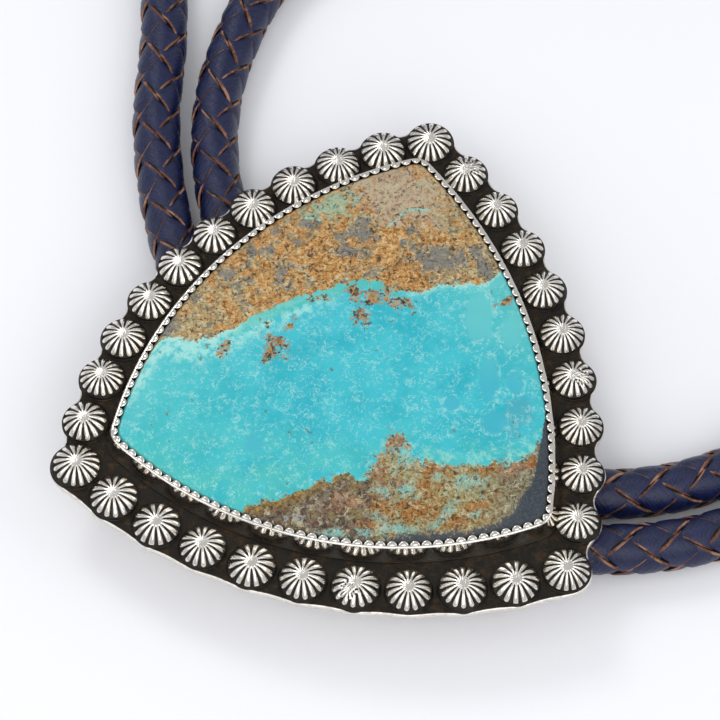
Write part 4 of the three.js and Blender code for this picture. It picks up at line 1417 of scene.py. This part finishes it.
class BOLO_OT_stone(bpy.types.Operator):
    """Adds the low-domed turquoise"""

    bl_idname = "bolo.stone"
    bl_label = "Stone"

    def execute(self, context):
        sizes = context.scene.bolo_setting
        outlines = Outlines(sizes)
        line = outlines.fold_line(288)[0] + outlines.shift
        girdle = offset(line, -BEZEL_THICKNESS - STONE_CLEARANCE)
        middle = girdle.mean(axis=0)
        bottom = PLATE_TOP + STONE_CLEARANCE
        bevel = 1 - STONE_BEVEL_REACH / (0.42 * sizes.stone_width / MM)
        rise = sizes.dome_rise / MM
        levels = [
            (0.994, bottom), (1.0, bottom + 0.15), (1.0, STONE_SHOULDER - 0.18),
            (0.997, STONE_SHOULDER - 0.04),
        ]
        for share in (0.992, 0.985, 0.96, 0.935, bevel + 0.012):
            slope = (share - 1) / (bevel - 1)
            levels.append((share, STONE_SHOULDER + slope * (STONE_BEVEL_TOP - STONE_SHOULDER)))
        for share in (0.985, 0.96, 0.93, 0.88, 0.8, 0.7, 0.6, 0.5, 0.4, 0.3, 0.2, 0.1):
            levels.append((share * bevel, STONE_BEVEL_TOP + rise * (1 - share ** 2)))
        rings = np.array([
            with_height(middle + (girdle - middle) * share, height) for share, height in levels])
        points, faces = join_rings(rings, (*middle, bottom), (*middle, STONE_BEVEL_TOP + rise))
        # The rim attribute marks the stone's outer edge for painted shade under the bezel's teeth
        grime_and_shade = [np.full(len(line), 1 - smooth_share(1 - share, 0.004, 0.016)) for share, _ in levels]
        stone = mesh_object(
            "stone_cabochon", points, faces, stone_material(), {"rim": np.concatenate([*grime_and_shade, [0.0, 0.0]])})
        finish_piece(stone, "stone")
        return {"FINISHED"}


class BOLO_OT_finishes(bpy.types.Operator):
    """Makes the metal finishes and gives the clip its own"""

    bl_idname = "bolo.finishes"
    bl_label = "Metal finishes and clip"

    def execute(self, context):
        scratches = scratch_group()
        tarnish = tarnish_group()
        silver_material("Silver tips", scratches, tarnish, haze=0.15)
        silver_material(
            "Silver plate", scratches, tarnish, haze=0.3, dent_depth=0.05, roughness=0.24, dirt="#3f3223")
        silver_material("Silver bezel", scratches, tarnish, haze=0.03, dent_depth=0.012, roughness=0.04)
        silver_material("Silver studs", scratches, tarnish, haze=0.04, dent_depth=0.03, roughness=0.15)
        clip = frame["nodes"]["cord_clip"]
        clip.data.materials.clear()
        clip.data.materials.append(clip_material(scratches, tarnish))
        return {"FINISHED"}


class BOLO_PT_panel(bpy.types.Panel):
    """Lists the pieces of the bolo tie with their sizes and finishes"""

    bl_idname = "BOLO_PT_panel"
    bl_label = "Bolo Tie"
    bl_space_type = "VIEW_3D"
    bl_region_type = "UI"
    bl_category = "Bolo Tie"

    def draw(self, context):
        layout = self.layout
        for operator in STEPS:
            layout.operator(operator.bl_idname)
        for group in (context.scene.bolo_setting, context.scene.bolo_cord, context.scene.bolo_finishes):
            box = layout.box()
            for name in group.bl_rna.properties.keys():
                if name not in ("rna_type", "name"):
                    box.prop(group, name)


GROUPS = {"bolo_setting": BoloSettingSizes, "bolo_cord": BoloCordSizes, "bolo_finishes": BoloFinishes}
STEPS = (
    BOLO_OT_stage, BOLO_OT_finishes, BOLO_OT_tips, BOLO_OT_cord,
    BOLO_OT_plate, BOLO_OT_bezel, BOLO_OT_studs, BOLO_OT_stone,
)
CLASSES = (*GROUPS.values(), *STEPS, BOLO_PT_panel)


def register():
    for cls in CLASSES:
        bpy.utils.register_class(cls)
    for name, group in GROUPS.items():
        setattr(bpy.types.Scene, name, PointerProperty(type=group))


def unregister():
    for name in GROUPS:
        delattr(bpy.types.Scene, name)
    for cls in reversed(CLASSES):
        bpy.utils.unregister_class(cls)


def main():
    register()
    bpy.ops.bolo.stage()
    bpy.ops.bolo.finishes()
    bpy.ops.bolo.tips()
    bpy.ops.bolo.cord()
    bpy.ops.bolo.plate()
    bpy.ops.bolo.bezel()
    bpy.ops.bolo.studs()
    bpy.ops.bolo.stone()


if __name__ == "__main__":
    main()
